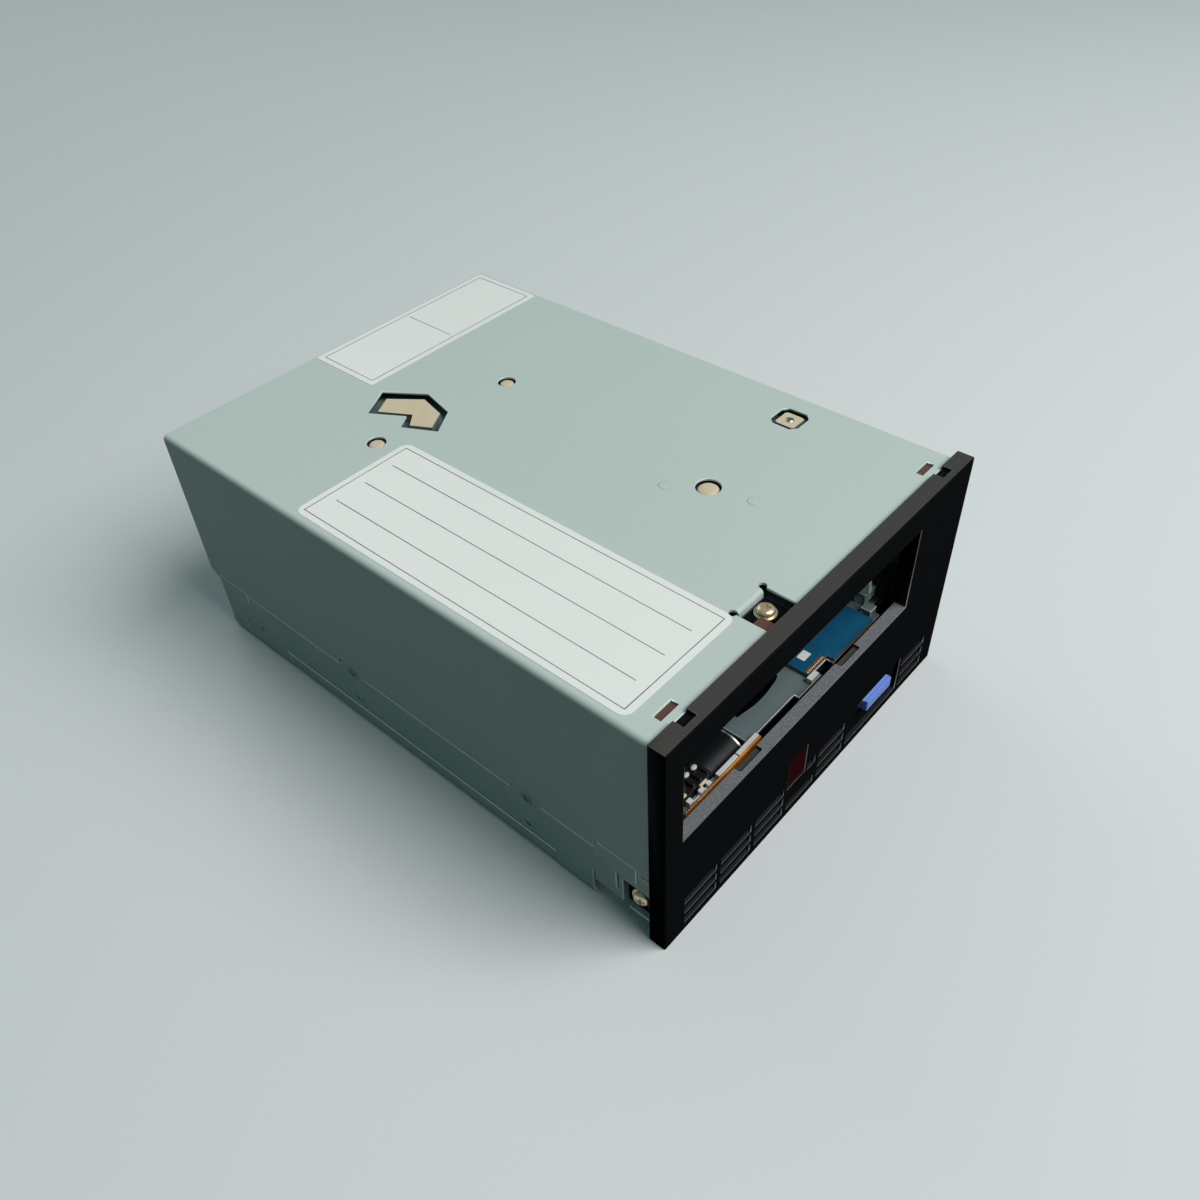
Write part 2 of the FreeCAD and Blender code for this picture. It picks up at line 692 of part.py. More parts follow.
def make_panel_board():
    """Small upright board behind the bezel with its character module and the button's switch."""
    board = box("-25", "57", "3.0", "4.4", "7", "36")
    module = box("window_left - 0.4", "window_left + window_width + 0.4", "bezel_wall - bezel_depth + 1", "3.0",
                 "window_low - 0.6", "window_low + window_height + 0.6")
    finish(fuse(board, module), "panel_board")
    body = box("button_left + 3.5", "button_left + 11.2", "1.0", "3.0", "button_low - 1", "button_low + 5.3")
    stem = rod("Y", "1.0", "button_left + button_width / 2", "button_travel - 0.1",
               "button_low + button_height / 2", "1.2")
    hole = rod("Y", "1.7", "button_left + button_width / 2", "-1", "button_low + button_height / 2", "3.0")
    finish(fuse(cut(body, hole), stem), "eject_switch")


def make_gaskets():
    """Conductive strips that seal the cover's front edge to the bezel."""
    under = "cover_height - cover_sheet"
    inner = "cover_width / 2 - cover_sheet"
    for label, side, end in (("emi_gasket_left", -1, "20.6"), ("emi_gasket_right", 1, "-10.9")):
        top = mirrored(side, end, f"{inner} - cover_bend")
        block(label, *top, "0.4", "5.6", f"{under} - 0.6", under)
        foot = mirrored(side, "66.3", "68.9")
        block(label.replace("emi", "foot"), *foot, "0.8", "6.5", "5.2", "5.8")


def make_screws():
    """Pan-head screws with captive washers: one down through the bezel's tongue, one in each ear."""
    def cross_slot(axis, x, y, z):
        reach = "screw_head * 0.6"
        thin = "0.35"
        if axis == "Z":
            first = box(f"{x} - {reach}", f"{x} + {reach}", f"{y} - {thin}", f"{y} + {thin}", z, f"{z} + 2")
            second = box(f"{x} - {thin}", f"{x} + {thin}", f"{y} - {reach}", f"{y} + {reach}", z, f"{z} + 2")
            return [first, second]
        first = box(x, f"{x} + 2", f"{y} - {reach}", f"{y} + {reach}", f"{z} - {thin}", f"{z} + {thin}")
        second = box(x, f"{x} + 2", f"{y} - {thin}", f"{y} + {thin}", f"{z} - {reach}", f"{z} + {reach}")
        return [first, second]

    x, y, z = "top_screw_x", "top_screw_y", "roof_top + 1.2"
    washer = rod("Z", "washer_radius", x, y, z, "washer_sheet")
    head = rod("Z", "screw_head", x, y, f"{z} + washer_sheet", "screw_head_height")
    shank = rod("Z", "screw_shank", x, y, "roof_top - roof_sheet", f"{z} - (roof_top - roof_sheet)")
    slots = cross_slot("Z", x, y, f"{z} + washer_sheet + 0.9")
    finish(cut(fuse(washer, head, shank), *slots), "top_screw")

    y, z = "side_screw_y", "side_screw_z"
    head_end = "70.9 + washer_sheet + screw_head_height"
    for side, label in ((-1, "side_screw_left"), (1, "side_screw_right")):
        washer_start = mirrored(side, "70.9", "70.9 + washer_sheet")[0]
        washer = rod("X", "washer_radius", washer_start, y, z, "washer_sheet")
        head = rod("X", "screw_head", mirrored(side, "70.9 + washer_sheet", head_end)[0], y, z,
                   "screw_head_height")
        shank = rod("X", "screw_shank", mirrored(side, "64.2", "70.9")[0], y, z, "6.7")
        start = "70.9 + washer_sheet + 0.9" if side > 0 else "-70.9 - washer_sheet - 2.9"
        finish(cut(fuse(washer, head, shank), *cross_slot("X", start, y, z)), label)


# ---------------------------------------------------------------------------------------------------
# Frame inside
# ---------------------------------------------------------------------------------------------------
PLATE_IN = "(cart_width / 2 + 3.4)"
PLATE_OUT = "(cart_width / 2 + 3.4 + guide_sheet)"
CAM_IN = "(cart_width / 2 + 1.9)"
CAM_OUT = "(cart_width / 2 + 1.9 + cam_sheet)"
LIFT_IN = "(cart_width / 2 + 0.5)"
LIFT_OUT = "(cart_width / 2 + 0.5 + lift_sheet)"


def about_mouth(side, low, high):
    """A range of distances from the cartridge's middle plane, on one side of it."""
    if side > 0:
        return f"mouth_centre + {low}", f"mouth_centre + {high}"
    return f"mouth_centre - {high}", f"mouth_centre - {low}"


def make_deck():
    """Cast deck on four feet: ribbed plate with the spindle bores, gear windows and roller pins."""
    body = new_body()
    bottom = "deck_top - deck_thick"
    left, right = f"mouth_centre - {PLATE_IN}", "68.0"
    pad(body, "XY", bottom, "deck_top", lambda s: rect(s, left, right, "deck_front", DECK_REAR))

    def ribs(sketch):
        front = "supply_y + rotor_radius + 3"
        rect(sketch, "-64.5", "64.5", front, f"{DECK_REAR} - 2")
        rect(sketch, "-61.5", "61.5", f"{front} + 3", f"{DECK_REAR} - 5")

    pad(body, "XY", f"{bottom} - deck_rib", bottom, ribs)
    # Front feet take the side screws; rear feet stand on the pan.
    for side in (-1, 1):
        arm = mirrored(side, "60.0", "65.0")
        pad(body, "XY", "tray_sheet", bottom, lambda s: rect(s, *arm, "1.0", "9.0"))
        pad(body, "XY", bottom, "deck_top - 1.4", lambda s: rect(s, *arm, "1.0", "deck_front + 2"))
        boss = mirrored(side, "64.0", "69.2")
        pad(body, "YZ", *boss, lambda s: circle(s, "side_screw_y", "side_screw_z", "3.0"))
        bore = mirrored(side, "64.0", "70.2")
        pocket(body, "YZ", *bore, lambda s: circle(s, "side_screw_y", "side_screw_z", "screw_shank"))
        foot = mirrored(side, "58.5", "64.5")
        pad(body, "XY", "tray_sheet", f"{bottom} - deck_rib",
            lambda s: rect(s, *foot, f"{DECK_REAR} - 12", f"{DECK_REAR} - 2"))

    def windows(sketch):
        circle(sketch, "mouth_centre", "supply_y", "bearing_tube + 2.5")
        circle(sketch, "mouth_centre", "takeup_y", "bearing_tube + 2.5")
        rect(sketch, "gear_right + 1.5", "gear_right + motor_length + 4", "deck_front - 1",
             f"{MOTOR_Y} + motor_radius + 1.5")
        rect(sketch, "30", "50", "70", "90")
        rect(sketch, "-60", "-40", "70", "90")

    pocket(body, "XY", f"{bottom} - 1", "deck_top + 1", windows)
    # Room for the gears, then the notch that the cam plate's rack runs in.
    pocket(body, "XY", f"{bottom} - 1", "deck_top + 1",
           lambda s: rect(s, "gear_right - gear_face - 1", "gear_right + 1.6", "deck_front - 1", "44.5"))
    pocket(body, "XY", f"{bottom} - 1", "deck_top + 1",
           lambda s: rect(s, f"{left} - 1", f"mouth_centre - {CAM_IN} + fit_gap", "deck_front - 1", "61"))

    for x, y in ROLLERS:
        pad(body, "XY", "deck_top", "roller_low - fit_gap", lambda s: circle(s, x, y, "3.2"))
        pad(body, "XY", "roller_low - fit_gap", "roller_low + roller_height + 1.5",
            lambda s: circle(s, x, y, "roller_pin"))
    for x, y in ((-62, f"{DECK_REAR} - 6"), (62, f"{DECK_REAR} - 6"), (62, "60")):
        pad(body, "XY", "deck_top", "roof_top - roof_sheet", lambda s: circle(s, x, y, "post_radius"))
    finish(body, "deck")


def make_roof_plate():
    """Sheet roof over the mechanism, with raised pads that reach up into the cover's openings."""
    body = new_body()
    under = "roof_top - roof_sheet"
    pad_top = "cover_height - 0.7"
    rear = f"{DECK_REAR} - 1"
    pad(body, "XY", under, "roof_top", lambda s: rect(s, "-69.5", "69.5", "0.8", rear))

    def raised(sketch):
        outline(sketch, [
            ("-12.0", "164.6"), ("-4.2", "153.9"), ("-6.9", "143.1"), ("-14.4", "138.9"),
            ("-18.2", "146.0"), ("-12.9", "150.0"), ("-19.3", "160.8"),
        ])
        rect(sketch, "56.2", "63.4", "47.0", "54.2")

    pad(body, "XY", "roof_top", pad_top, raised)

    def drilled(sketch):
        circle(sketch, "top_screw_x", "top_screw_y", "screw_shank")
        circle(sketch, "threader_x", "threader_y", "2.0")
        for x, y, radius in RIVETS:
            circle(sketch, x, y, "1.5")

    pocket(body, "XY", f"{under} - 1", "roof_top + 1", drilled)
    finish(body, "roof_plate")
    for number, (x, y, radius) in enumerate(RIVETS, start=1):
        shank = rod("Z", "1.5", x, y, under, "roof_sheet")
        head = rod("Z", radius - 0.5, x, y, "roof_top", "cover_height - 0.5 - roof_top")
        finish(fuse(shank, head), f"roof_rivet_{number}")


def make_guide_plates():
    """Fixed side plates: upright slots for the lift's pins and studs that carry the cams."""
    for side, label in ((-1, "guide_plate_left"), (1, "guide_plate_right")):
        body = new_body()
        span = about_mouth(side, PLATE_IN, PLATE_OUT)
        wide = "(pin_radius + fit_gap)"
        foot = "cross_shaft_z - 6" if side < 0 else "deck_top"
        pad(body, "YZ", *span, lambda s: rect(s, "deck_front", "lift_rear", foot, "roof_top - roof_sheet"))

        def slots(sketch):
            for y in ("pin_front_y", "pin_rear_y"):
                rect(sketch, f"{y} - {wide}", f"{y} + {wide}", "pin_height - lift_drop - pin_radius - fit_gap",
                     f"pin_height + {wide}")
            if side < 0:
                circle(sketch, "cross_shaft_y", "cross_shaft_z", "axle_radius + running_gap")

        low, high = span
        pocket(body, "YZ", f"{low} - 0.5", f"{high} + 0.5", slots)
        stud = about_mouth(side, f"({LIFT_OUT} + 0.3)", PLATE_IN)
        for y in ("pin_front_y + 20", "pin_rear_y + 3"):
            pad(body, "YZ", *stud, lambda s: circle(s, y, "stud_height", "pin_radius"))
        flange = about_mouth(side, PLATE_OUT, f"({PLATE_OUT} + 4)")
        if side > 0:
            pad(body, "XY", "deck_top", "deck_top + guide_sheet",
                lambda s: rect(s, *flange, "deck_front", "lift_rear - 8"))
        finish(body, label)


def make_front_group():
    """What shows through the cartridge mouth: bracket, board, motor, connectors, flex and clip."""
    body = new_body()
    top = "front_board_top - front_board_sheet"
    sheet_low = f"{top} - 1"
    pad(body, "XY", sheet_low, top, lambda s: rect(s, "-59", "42.3", "0.9", "deck_front - 0.3"))

    chord = f"sqrt(motor_radius ^ 2 - ({sheet_low} - cross_shaft_z) ^ 2)"

    def trims(sketch):
        rect(sketch, "-60", "gear_right + motor_length + 3.6", f"{MOTOR_Y} - {chord} - 0.4", "deck_front + 1")
        rect(sketch, "-22.6", "-3.2", "0", "2.6")
        rect(sketch, "8.8", "15.2", "0", "3.3")
        outline(sketch, [
            ("-20.8", "10.4"), ("-18", "10.0"), ("-15", "9.5"), ("-12", "9.2"), ("-9", "9.25"), ("-6.9", "9.4"),
            ("-3.8", "9.8"), ("-1.5", "10.3"), ("0.5", "10.8"), ("0.5", "12.2"), ("-20.8", "12.2"),
        ])

    pocket(body, "XY", f"{sheet_low} - 1", f"{top} + 1", trims)
    for x0, x1 in (("-24", "-4"), ("6", "40")):
        pad(body, "XY", "deck_top - deck_thick", sheet_low,
            lambda s: rect(s, x0, x1, "deck_front - 1.3", "deck_front"))
    # Two ears and a pin carry the lever at the right-hand end.
    pad(body, "XY", sheet_low, top, lambda s: rect(s, "42.3", "49.0", "5.0", "deck_front - 0.3"))
    for x0, x1 in (("42.4", "43.2"), ("48.2", "49.0")):
        pad(body, "YZ", x0, x1, lambda s: rect(s, "lever_y - 2", "lever_y + 2", sheet_low, "lever_z + 1.8"))
    pad(body, "YZ", "43.0", "48.4", lambda s: circle(s, "lever_y", "lever_z", "0.8"))
    # The block that the lever's rest position is sensed against.
    pad(body, "XY", top, f"{top} + 3.2", lambda s: rect(s, "38.3", "41.9", "2.2", "5.8"))
    finish(body, "front_bracket")

    board = box("5", "38", "0.9", "deck_front - 0.3", top, "front_board_top")
    bite = box("8.6", "15.4", "0", "3.5", f"{top} - 1", "front_board_top + 1")
    step = box("4", "9", "0", "3.2", f"{top} - 1", "front_board_top + 1")
    finish(cut(board, bite, step), "front_board")

    can = rod("X", "motor_radius", "gear_right + 2", MOTOR_Y, "cross_shaft_z", "motor_length")
    nose = rod("X", "3.0", "gear_right + 1.2", MOTOR_Y, "cross_shaft_z", "0.8")
    cap = rod("X", "motor_radius - 2", "gear_right + 2 + motor_length", MOTOR_Y, "cross_shaft_z", "1.2")
    finish(fuse(can, nose, cap), "loader_motor")
    sockets = (("-42.3", "-33.3", "2.4"), ("-32.9", "-23.3", "2.4"), ("3.3", "7.5", "2.9"))
    for number, (x0, x1, rear) in enumerate(sockets, start=1):
        block(f"flex_connector_{number}", x0, x1, "1.0", rear, top, "front_board_top + 0.4")
    film = box("-58", "-23.4", "0.2", "0.6", "34", "front_board_top")
    fold = box("-58", "-23.4", "0.2", "0.95", "front_board_top", "front_board_top + 0.3")
    finish(fuse(film, fold), "front_flex")

    # Black cable clip that bridges the motor's end, its two studs, and the pegs of the cables under it.
    base = box("-59", "-46.2", "3.4", "11.0", sheet_low, top)
    web = box("-57.5", "-46.6", "6.2", "9.6", top, "front_board_top + 1")
    bridge = box("-55", "-42.8", "3.2", "9.6", "front_board_top + 0.3", "front_board_top + 1")
    tooth_places = (("-53.4", "-52.0", "5.0", "9.2", 2.2), ("-50.6", "-49.8", "3.4", "7.0", 2.4),
                    ("-47.6", "-46.8", "3.4", "8.0", 2.0), ("-44.4", "-43.6", "3.4", "6.0", 1.8))
    teeth = [box(x0, x1, y0, y1, "front_board_top + 1", f"front_board_top + {tall}")
             for x0, x1, y0, y1, tall in tooth_places]
    studs = [rod("Z", "0.8", x, "7.4", "front_board_top + 1", "1") for x in ("-48.8", "-45.4")]
    finish(fuse(base, web, bridge, *teeth, *studs), "cable_clip")
    pegs = [box("-46.6", "-45.0", "1.3", "2.6", top, "front_board_top + 0.4"),
            box("-49.9", "-47.9", "1.3", "2.7", top, "front_board_top + 0.4"),
            box("-55", "-53.2", "1.2", "2.8", top, "front_board_top + 0.8")]
    finish(fuse(*pegs, box("-55", "-44.8", "1.5", "2.1", top, f"{top} + 0.6")), "clip_pegs")


def make_gear_bracket():
    """Upright plate under the deck that holds the idler's pin and the cross shaft."""
    body = new_body()
    low, high = "gear_right - gear_face - 3.4", "gear_right - gear_face - 2.0"
    bottom = "deck_top - deck_thick"
    pad(body, "YZ", low, high, lambda s: rect(s, "deck_front + 1", "44", "21", bottom))
    pad(body, "XY", f"{bottom} - 1.2", bottom,
        lambda s: rect(s, "-58.5", low, "deck_front + 4", "44"))
    pocket(body, "YZ", f"{low} - 1", f"{high} + 1",
           lambda s: circle(s, "cross_shaft_y", "cross_shaft_z", "axle_radius + running_gap"))
    idler = gear_places()[1]
    pad(body, "YZ", high, "gear_right + 0.8", lambda s: circle(s, idler[0], idler[1], "axle_radius"))
    finish(body, "gear_bracket")


# ---------------------------------------------------------------------------------------------------
# Cartridge loader
# ---------------------------------------------------------------------------------------------------
def make_cartridge_lift():
    """Channel that carries the cartridge: floor with the clutch opening, walls, lips and guide pins."""
    body = new_body()
    floor_top = "lift_floor + lift_sheet"
    top = "lift_floor + lift_height"
    left, right = f"mouth_centre - {LIFT_OUT}", f"mouth_centre + {LIFT_OUT}"
    rear = "lift_rear + 15.5"

    def plan(sketch):
        outline(sketch, [
            (left, "lift_front"), (right, "lift_front"), (right, "lift_rear - 4"),
            ("mouth_centre + 31", "lift_rear"), ("mouth_centre + 31", rear), (left, rear),
        ])

    pad(body, "XY", "lift_floor", floor_top, plan)
    for side in (-1, 1):
        wall = about_mouth(side, LIFT_IN, LIFT_OUT)
        end = rear if side < 0 else "lift_rear - 4"
        pad(body, "YZ", *wall, lambda s: rect(s, "lift_front", end, floor_top, top))
        lip = about_mouth(side, f"({LIFT_IN} - 5)", LIFT_IN)
        pad(body, "XY", f"{top} - lift_sheet", top, lambda s: rect(s, *lip, "lift_front + 4", "lift_rear - 8"))
        pin = about_mouth(side, LIFT_OUT, f"({PLATE_OUT} + 0.8)")
        for y in ("pin_front_y", "pin_rear_y"):
            pad(body, "YZ", *pin, lambda s: circle(s, y, "pin_height", "pin_radius"))
    pad(body, "XZ", f"{rear} - lift_sheet", rear,
        lambda s: rect(s, left, "mouth_centre + 26", floor_top, f"{floor_top} + 8"))

    def openings(sketch):
        circle(sketch, "mouth_centre", "supply_y", "clutch_radius + 3.5")
        rect(sketch, "mouth_centre - 40", "mouth_centre - 26", "26", "84")
        rect(sketch, "mouth_centre + 26", "mouth_centre + 40", "26", "80")

    pocket(body, "XY", "lift_floor - 1", f"{floor_top} + 1", openings)
    finish(body, "cartridge_lift")


def rack_teeth():
    """Outline of the rack's teeth, hanging below the cam plate, in Y and Z."""
    module = num("rack_module")
    pitch = math.pi * module
    pitch_z = num("cross_shaft_z + rack_module * rack_pinion_teeth / 2")
    contact = num("cross_shaft_y")
    lean = math.tan(math.radians(20))
    root, tip = pitch_z + 1.25 * module, pitch_z - 0.9 * module
    half = pitch / 4 - 0.06
    first = -math.ceil((num("cam_travel") + 4) / pitch)
    points = []
    for tooth in range(first, 3):
        centre = contact + tooth * pitch
        points.append((centre - half - (root - pitch_z) * lean, root))
        points.append((centre - half + (pitch_z - tip) * lean, tip))
        points.append((centre + half - (pitch_z - tip) * lean, tip))
        points.append((centre + half + (root - pitch_z) * lean, root))
    return points


def make_cams():
    """Sliding cam plates with inclined slots; the left one carries the rack. A crossbar joins them."""
    slope = "lift_drop / cam_travel"
    wide = "(pin_radius + fit_gap)"
    for side, label in ((-1, "cam_plate_left"), (1, "cam_plate_right")):
        body = new_body()
        span = about_mouth(side, CAM_IN, CAM_OUT)
        low, high = span
        top = "stud_height + 3.7"
        tail = "lift_rear + 14"
        base = "lift_floor + 2"

        def profile(sketch):
            outline(sketch, [
                ("lift_front", base), ("lift_rear - 8", base), ("lift_rear - 8", "stud_height - 3.5"),
                (tail, "stud_height - 3.5"), (tail, "crossbar_low"), ("lift_front", "crossbar_low"),
            ])

        pad(body, "YZ", low, high, profile)

        def slots(sketch):
            for y in ("pin_front_y", "pin_rear_y"):
                # Parallelogram along the incline, with room past both ends.
                rise = f"{wide} * sqrt(1 + ({slope})^2)"
                y0, y1 = f"{y} - cam_travel - {wide} * 1.2", f"{y} + {wide} * 1.2"
                z0 = f"pin_height - lift_drop - {wide} * 1.2 * {slope}"
                z1 = f"pin_height + {wide} * 1.2 * {slope}"
                outline(sketch, [(y0, f"{z0} - {rise}"), (y1, f"{z1} - {rise}"),
                                 (y1, f"{z1} + {rise}"), (y0, f"{z0} + {rise}")])
            for y in ("pin_front_y + 20", "pin_rear_y + 3"):
                rect(sketch, f"{y} - cam_travel - {wide}", f"{y} + {wide}",
                     "stud_height - pin_radius - 0.1", "stud_height + pin_radius + 0.1")

        pocket(body, "YZ", f"{low} - 0.5", f"{high} + 0.5", slots)
        if side < 0:
            teeth = rack_teeth()
            y_low, y_high = teeth[0][0] - 0.5, teeth[-1][0] + 0.5
            root = teeth[0][1]
            run = [(y_low, root)] + teeth + [(y_high, root), (y_high, num("lift_floor + 2")),
                                             (y_low, num("lift_floor + 2"))]
            pad(body, "YZ", low, high, lambda s: outline(s, [(str(y), str(z)) for y, z in run]))
        else:
            # The crossbar is folded from the right plate and laps over the left one.
            pad(body, "XY", "crossbar_low", f"crossbar_low + cam_sheet",
                lambda s: rect(s, f"mouth_centre - {CAM_OUT}", f"mouth_centre + {CAM_OUT}",
                               "lift_rear + 6", tail))
        finish(body, label)


def involute_outline(teeth, module, phase, thin=0.05):
    """Corner points of an external gear, a tooth centred at the phase angle."""
    pitch = module * teeth / 2
    base = pitch * math.cos(math.radians(20))
    root, tip = pitch - 1.25 * module, pitch + 0.9 * module

    def spread(radius):
        angle = math.acos(min(1.0, base / radius))
        return math.tan(angle) - angle

    half = math.pi / (2 * teeth) - thin / pitch
    points = []
    start = max(base, root)
    radii = [start, pitch, tip]
    for tooth in range(teeth):
        centre = phase + 2 * math.pi * tooth / teeth
        angles = [half + spread(pitch) - spread(radius) for radius in radii]
        rising = [(radius, centre - angle) for radius, angle in zip(radii, angles)]
        falling = [(radius, centre + angle) for radius, angle in zip(reversed(radii), reversed(angles))]
        if root < start:
            rising.insert(0, (root, centre - angles[0]))
            falling.append((root, centre + angles[0]))
        points += [(radius * math.cos(a), radius * math.sin(a)) for radius, a in rising + falling]
    return points


def gear_solid(teeth, module, phase, x0, x1, y, z, bore=0.0):
    """A gear whose axis runs along X; the phase is measured from +Y towards +Z."""
    points = [Vector(x0, y + a, z + b) for a, b in involute_outline(teeth, module, phase)]
    face = Part.Face(Part.makePolygon(points + points[:1]))
    solid = face.extrude(Vector(x1 - x0, 0, 0))
    if bore:
        solid = solid.cut(Part.makeCylinder(bore, x1 - x0, Vector(x0, y, z), Vector(1, 0, 0)))
    return solid


def gear_places():
    """Centres of the loader's three gear axes in Y and Z, from the tooth counts."""
    module = num("gear_module")
    first = module * num("motor_pinion_teeth + idler_teeth") / 2
    second = module * num("idler_teeth + cross_gear_teeth") / 2
    shaft = (num("cross_shaft_y"), num("cross_shaft_z"))
    motor = (num(MOTOR_Y), num("cross_shaft_z"))
    span = shaft[0] - motor[0]
    along = (span ** 2 + first ** 2 - second ** 2) / (2 * span)
    idler = (motor[0] + along, shaft[1] - math.sqrt(first ** 2 - along ** 2))
    return motor, idler, shaft


def make_gears():
    """Motor pinion, idler and cross shaft with the gear and the pinion that drives the rack."""
    motor, idler, shaft = gear_places()
    module = num("gear_module")
    x1 = num("gear_right")
    x0 = x1 - num("gear_face")
    axle = num("axle_radius")
    gap = num("running_gap")

    def bearing(here, there):
        return math.atan2(there[1] - here[1], there[0] - here[0])

    # The idler has a tooth towards the motor; its neighbours have a gap facing it.
    idler_phase = bearing(idler, motor)
    pinion_teeth = int(num("motor_pinion_teeth"))
    cross_teeth = int(num("cross_gear_teeth"))
    idler_teeth = int(num("idler_teeth"))
    pinion_phase = bearing(motor, idler) + math.pi / pinion_teeth
    pinion = gear_solid(pinion_teeth, module, pinion_phase, x0, x1, *motor)
    shank = Part.makeCylinder(1.0, 1.2, Vector(x1, *motor), Vector(1, 0, 0))
    put_shape(pinion.fuse(shank), "motor_pinion")
    put_shape(gear_solid(idler_teeth, module, idler_phase, x0, x1, *idler, axle + gap), "idler_gear")

    to_shaft = bearing(idler, shaft)
    turn = (to_shaft - idler_phase) / (2 * math.pi / idler_teeth)
    lead = (turn - round(turn)) * 2 * math.pi / idler_teeth
    # Where the idler's nearest tooth is past the line of centres, the cross gear's gap leads by the same arc.
    cross_phase = bearing(shaft, idler) + math.pi / cross_teeth + lead * idler_teeth / cross_teeth
    cross = gear_solid(cross_teeth, module, cross_phase, x0, x1, *shaft)
    rack_low = num(f"mouth_centre - {CAM_OUT}")
    rack_high = num(f"mouth_centre - {CAM_IN}")
    rack_teeth_count = int(num("rack_pinion_teeth"))
    rack_phase = math.pi / 2 + math.pi / rack_teeth_count
    drive = gear_solid(rack_teeth_count, num("rack_module"), rack_phase, rack_low, rack_high, *shaft)
    end = num(f"mouth_centre - {PLATE_OUT}") - 0.8
    rod_solid = Part.makeCylinder(axle, x1 + 1.0 - end, Vector(end, *shaft), Vector(1, 0, 0))
    put_shape(rod_solid.fuse([cross, drive]).removeSplitter(), "cross_shaft")


# ---------------------------------------------------------------------------------------------------
# Reels and tape path
# ---------------------------------------------------------------------------------------------------
def make_motor(prefix, y):
    """Flat reel motor: wound stator on a bearing tube under the deck, and a cup rotor round it."""
    bottom = "deck_top - deck_thick"
    body = new_body()
    bore = "(spindle_radius + running_gap)"
    revolve(body, [
        (bore, "rotor_low + 4"), ("bearing_tube", "rotor_low + 4"), ("bearing_tube", "rotor_low + 6"),
        ("16", "rotor_low + 6"), ("16", "rotor_low + 14"), ("bearing_tube", "rotor_low + 14"),
        ("bearing_tube", f"{bottom} - 1.5"), ("bearing_tube + 8", f"{bottom} - 1.5"),
        ("bearing_tube + 8", bottom), ("bearing_tube", bottom),
        ("bearing_tube", "deck_top - 0.4"), (bore, "deck_top - 0.4"),
    ])
    slot = pocket(body, "XY", "rotor_low + 5.5", "rotor_low + 14.5",
                  lambda s: rect(s, "9", "17", "-1.1", "1.1"))
    polar(body, slot, 9)
    finish(body, f"{prefix}_stator", "mouth_centre", y)

    body = new_body()
    high = "rotor_low + rotor_height"
    revolve(body, [
        (bore, "rotor_low"), ("rotor_radius", "rotor_low"), ("rotor_radius", high),
        ("rotor_radius - 2.6", high), ("rotor_radius - 2.6", "rotor_low + 1.6"), (bore, "rotor_low + 1.6"),
    ])
    finish(body, f"{prefix}_rotor", "mouth_centre", y)


def make_supply_spindle():
    """Shaft and toothed clutch that lifts and turns the cartridge's reel."""
    body = new_body()
    low = "rotor_low - 1"
    revolve(body, [
        ("0", low), ("spindle_radius + 2", low), ("spindle_radius + 2", "rotor_low - slip_gap"),
        ("spindle_radius", "rotor_low - slip_gap"), ("spindle_radius", "deck_top + 0.5"),
        ("clutch_radius", "deck_top + 0.5"), ("clutch_radius", "deck_top + 3.0"), ("10", "deck_top + 3.0"),
        ("10", "deck_top + 1.8"), ("4", "deck_top + 1.8"), ("4", "deck_top + 5.2"), ("2.5", "deck_top + 6.2"),
        ("0", "deck_top + 6.2"),
    ])
    tooth = pad(body, "XY", "deck_top + 3.0", "deck_top + 4.2",
                lambda s: outline(s, [("11.5", "-0.5"), ("16.5", "-1.1"), ("16.5", "1.1"), ("11.5", "0.5")]))
    polar(body, tooth, 20)
    finish(body, "supply_spindle", "mouth_centre", "supply_y")


def make_takeup_reel():
    """Take-up reel: hub with the leader slot, lower flange on its shaft, and a windowed upper flange."""
    body = new_body()
    flange_top = "reel_low + flange_sheet"
    hub_top = "reel_low + flange_sheet + tape_room"
    revolve(body, [
        ("0", "rotor_low - 1"), ("spindle_radius + 2", "rotor_low - 1"),
        ("spindle_radius + 2", "rotor_low - slip_gap"), ("spindle_radius", "rotor_low - slip_gap"),
        ("spindle_radius", "reel_low"), ("reel_flange", "reel_low"), ("reel_flange", flange_top),
        ("reel_hub", flange_top), ("reel_hub", hub_top), ("0", hub_top),
    ])
    pocket(body, "XY", flange_top, f"{hub_top} + 1",
           lambda s: outline(s, [("6", "-3"), ("reel_hub + 1", "-4.5"), ("reel_hub + 1", "4.5"), ("6", "3")]))
    finish(body, "takeup_reel", "mouth_centre", "takeup_y")

    body = new_body()
    revolve(body, [("4", hub_top), ("reel_flange", hub_top), ("reel_flange", f"{hub_top} + flange_sheet"),
                   ("4", f"{hub_top} + flange_sheet")])
    window = pocket(body, "XY", f"{hub_top} - 1", f"{hub_top} + 3",
                    lambda s: outline(s, [("25", "-7"), ("37", "-11"), ("37", "11"), ("25", "7")]))
    polar(body, window, 5)
    finish(body, "takeup_flange", "mouth_centre", "takeup_y")


def make_rollers():
    """Flanged guide rollers that run on the deck's pins."""
    for number, (x, y) in enumerate(ROLLERS, start=1):
        body = new_body()
        bore = "(roller_pin + running_gap)"
        revolve(body, [
            (bore, "0"), ("roller_flange", "0"), ("roller_flange", "0.7"), ("roller_radius", "0.7"),
            ("roller_radius", "roller_height - 0.7"), ("roller_flange", "roller_height - 0.7"),
            ("roller_flange", "roller_height"), (bore, "roller_height"),
        ])
        finish(body, f"guide_roller_{number}", x, y, "roller_low")


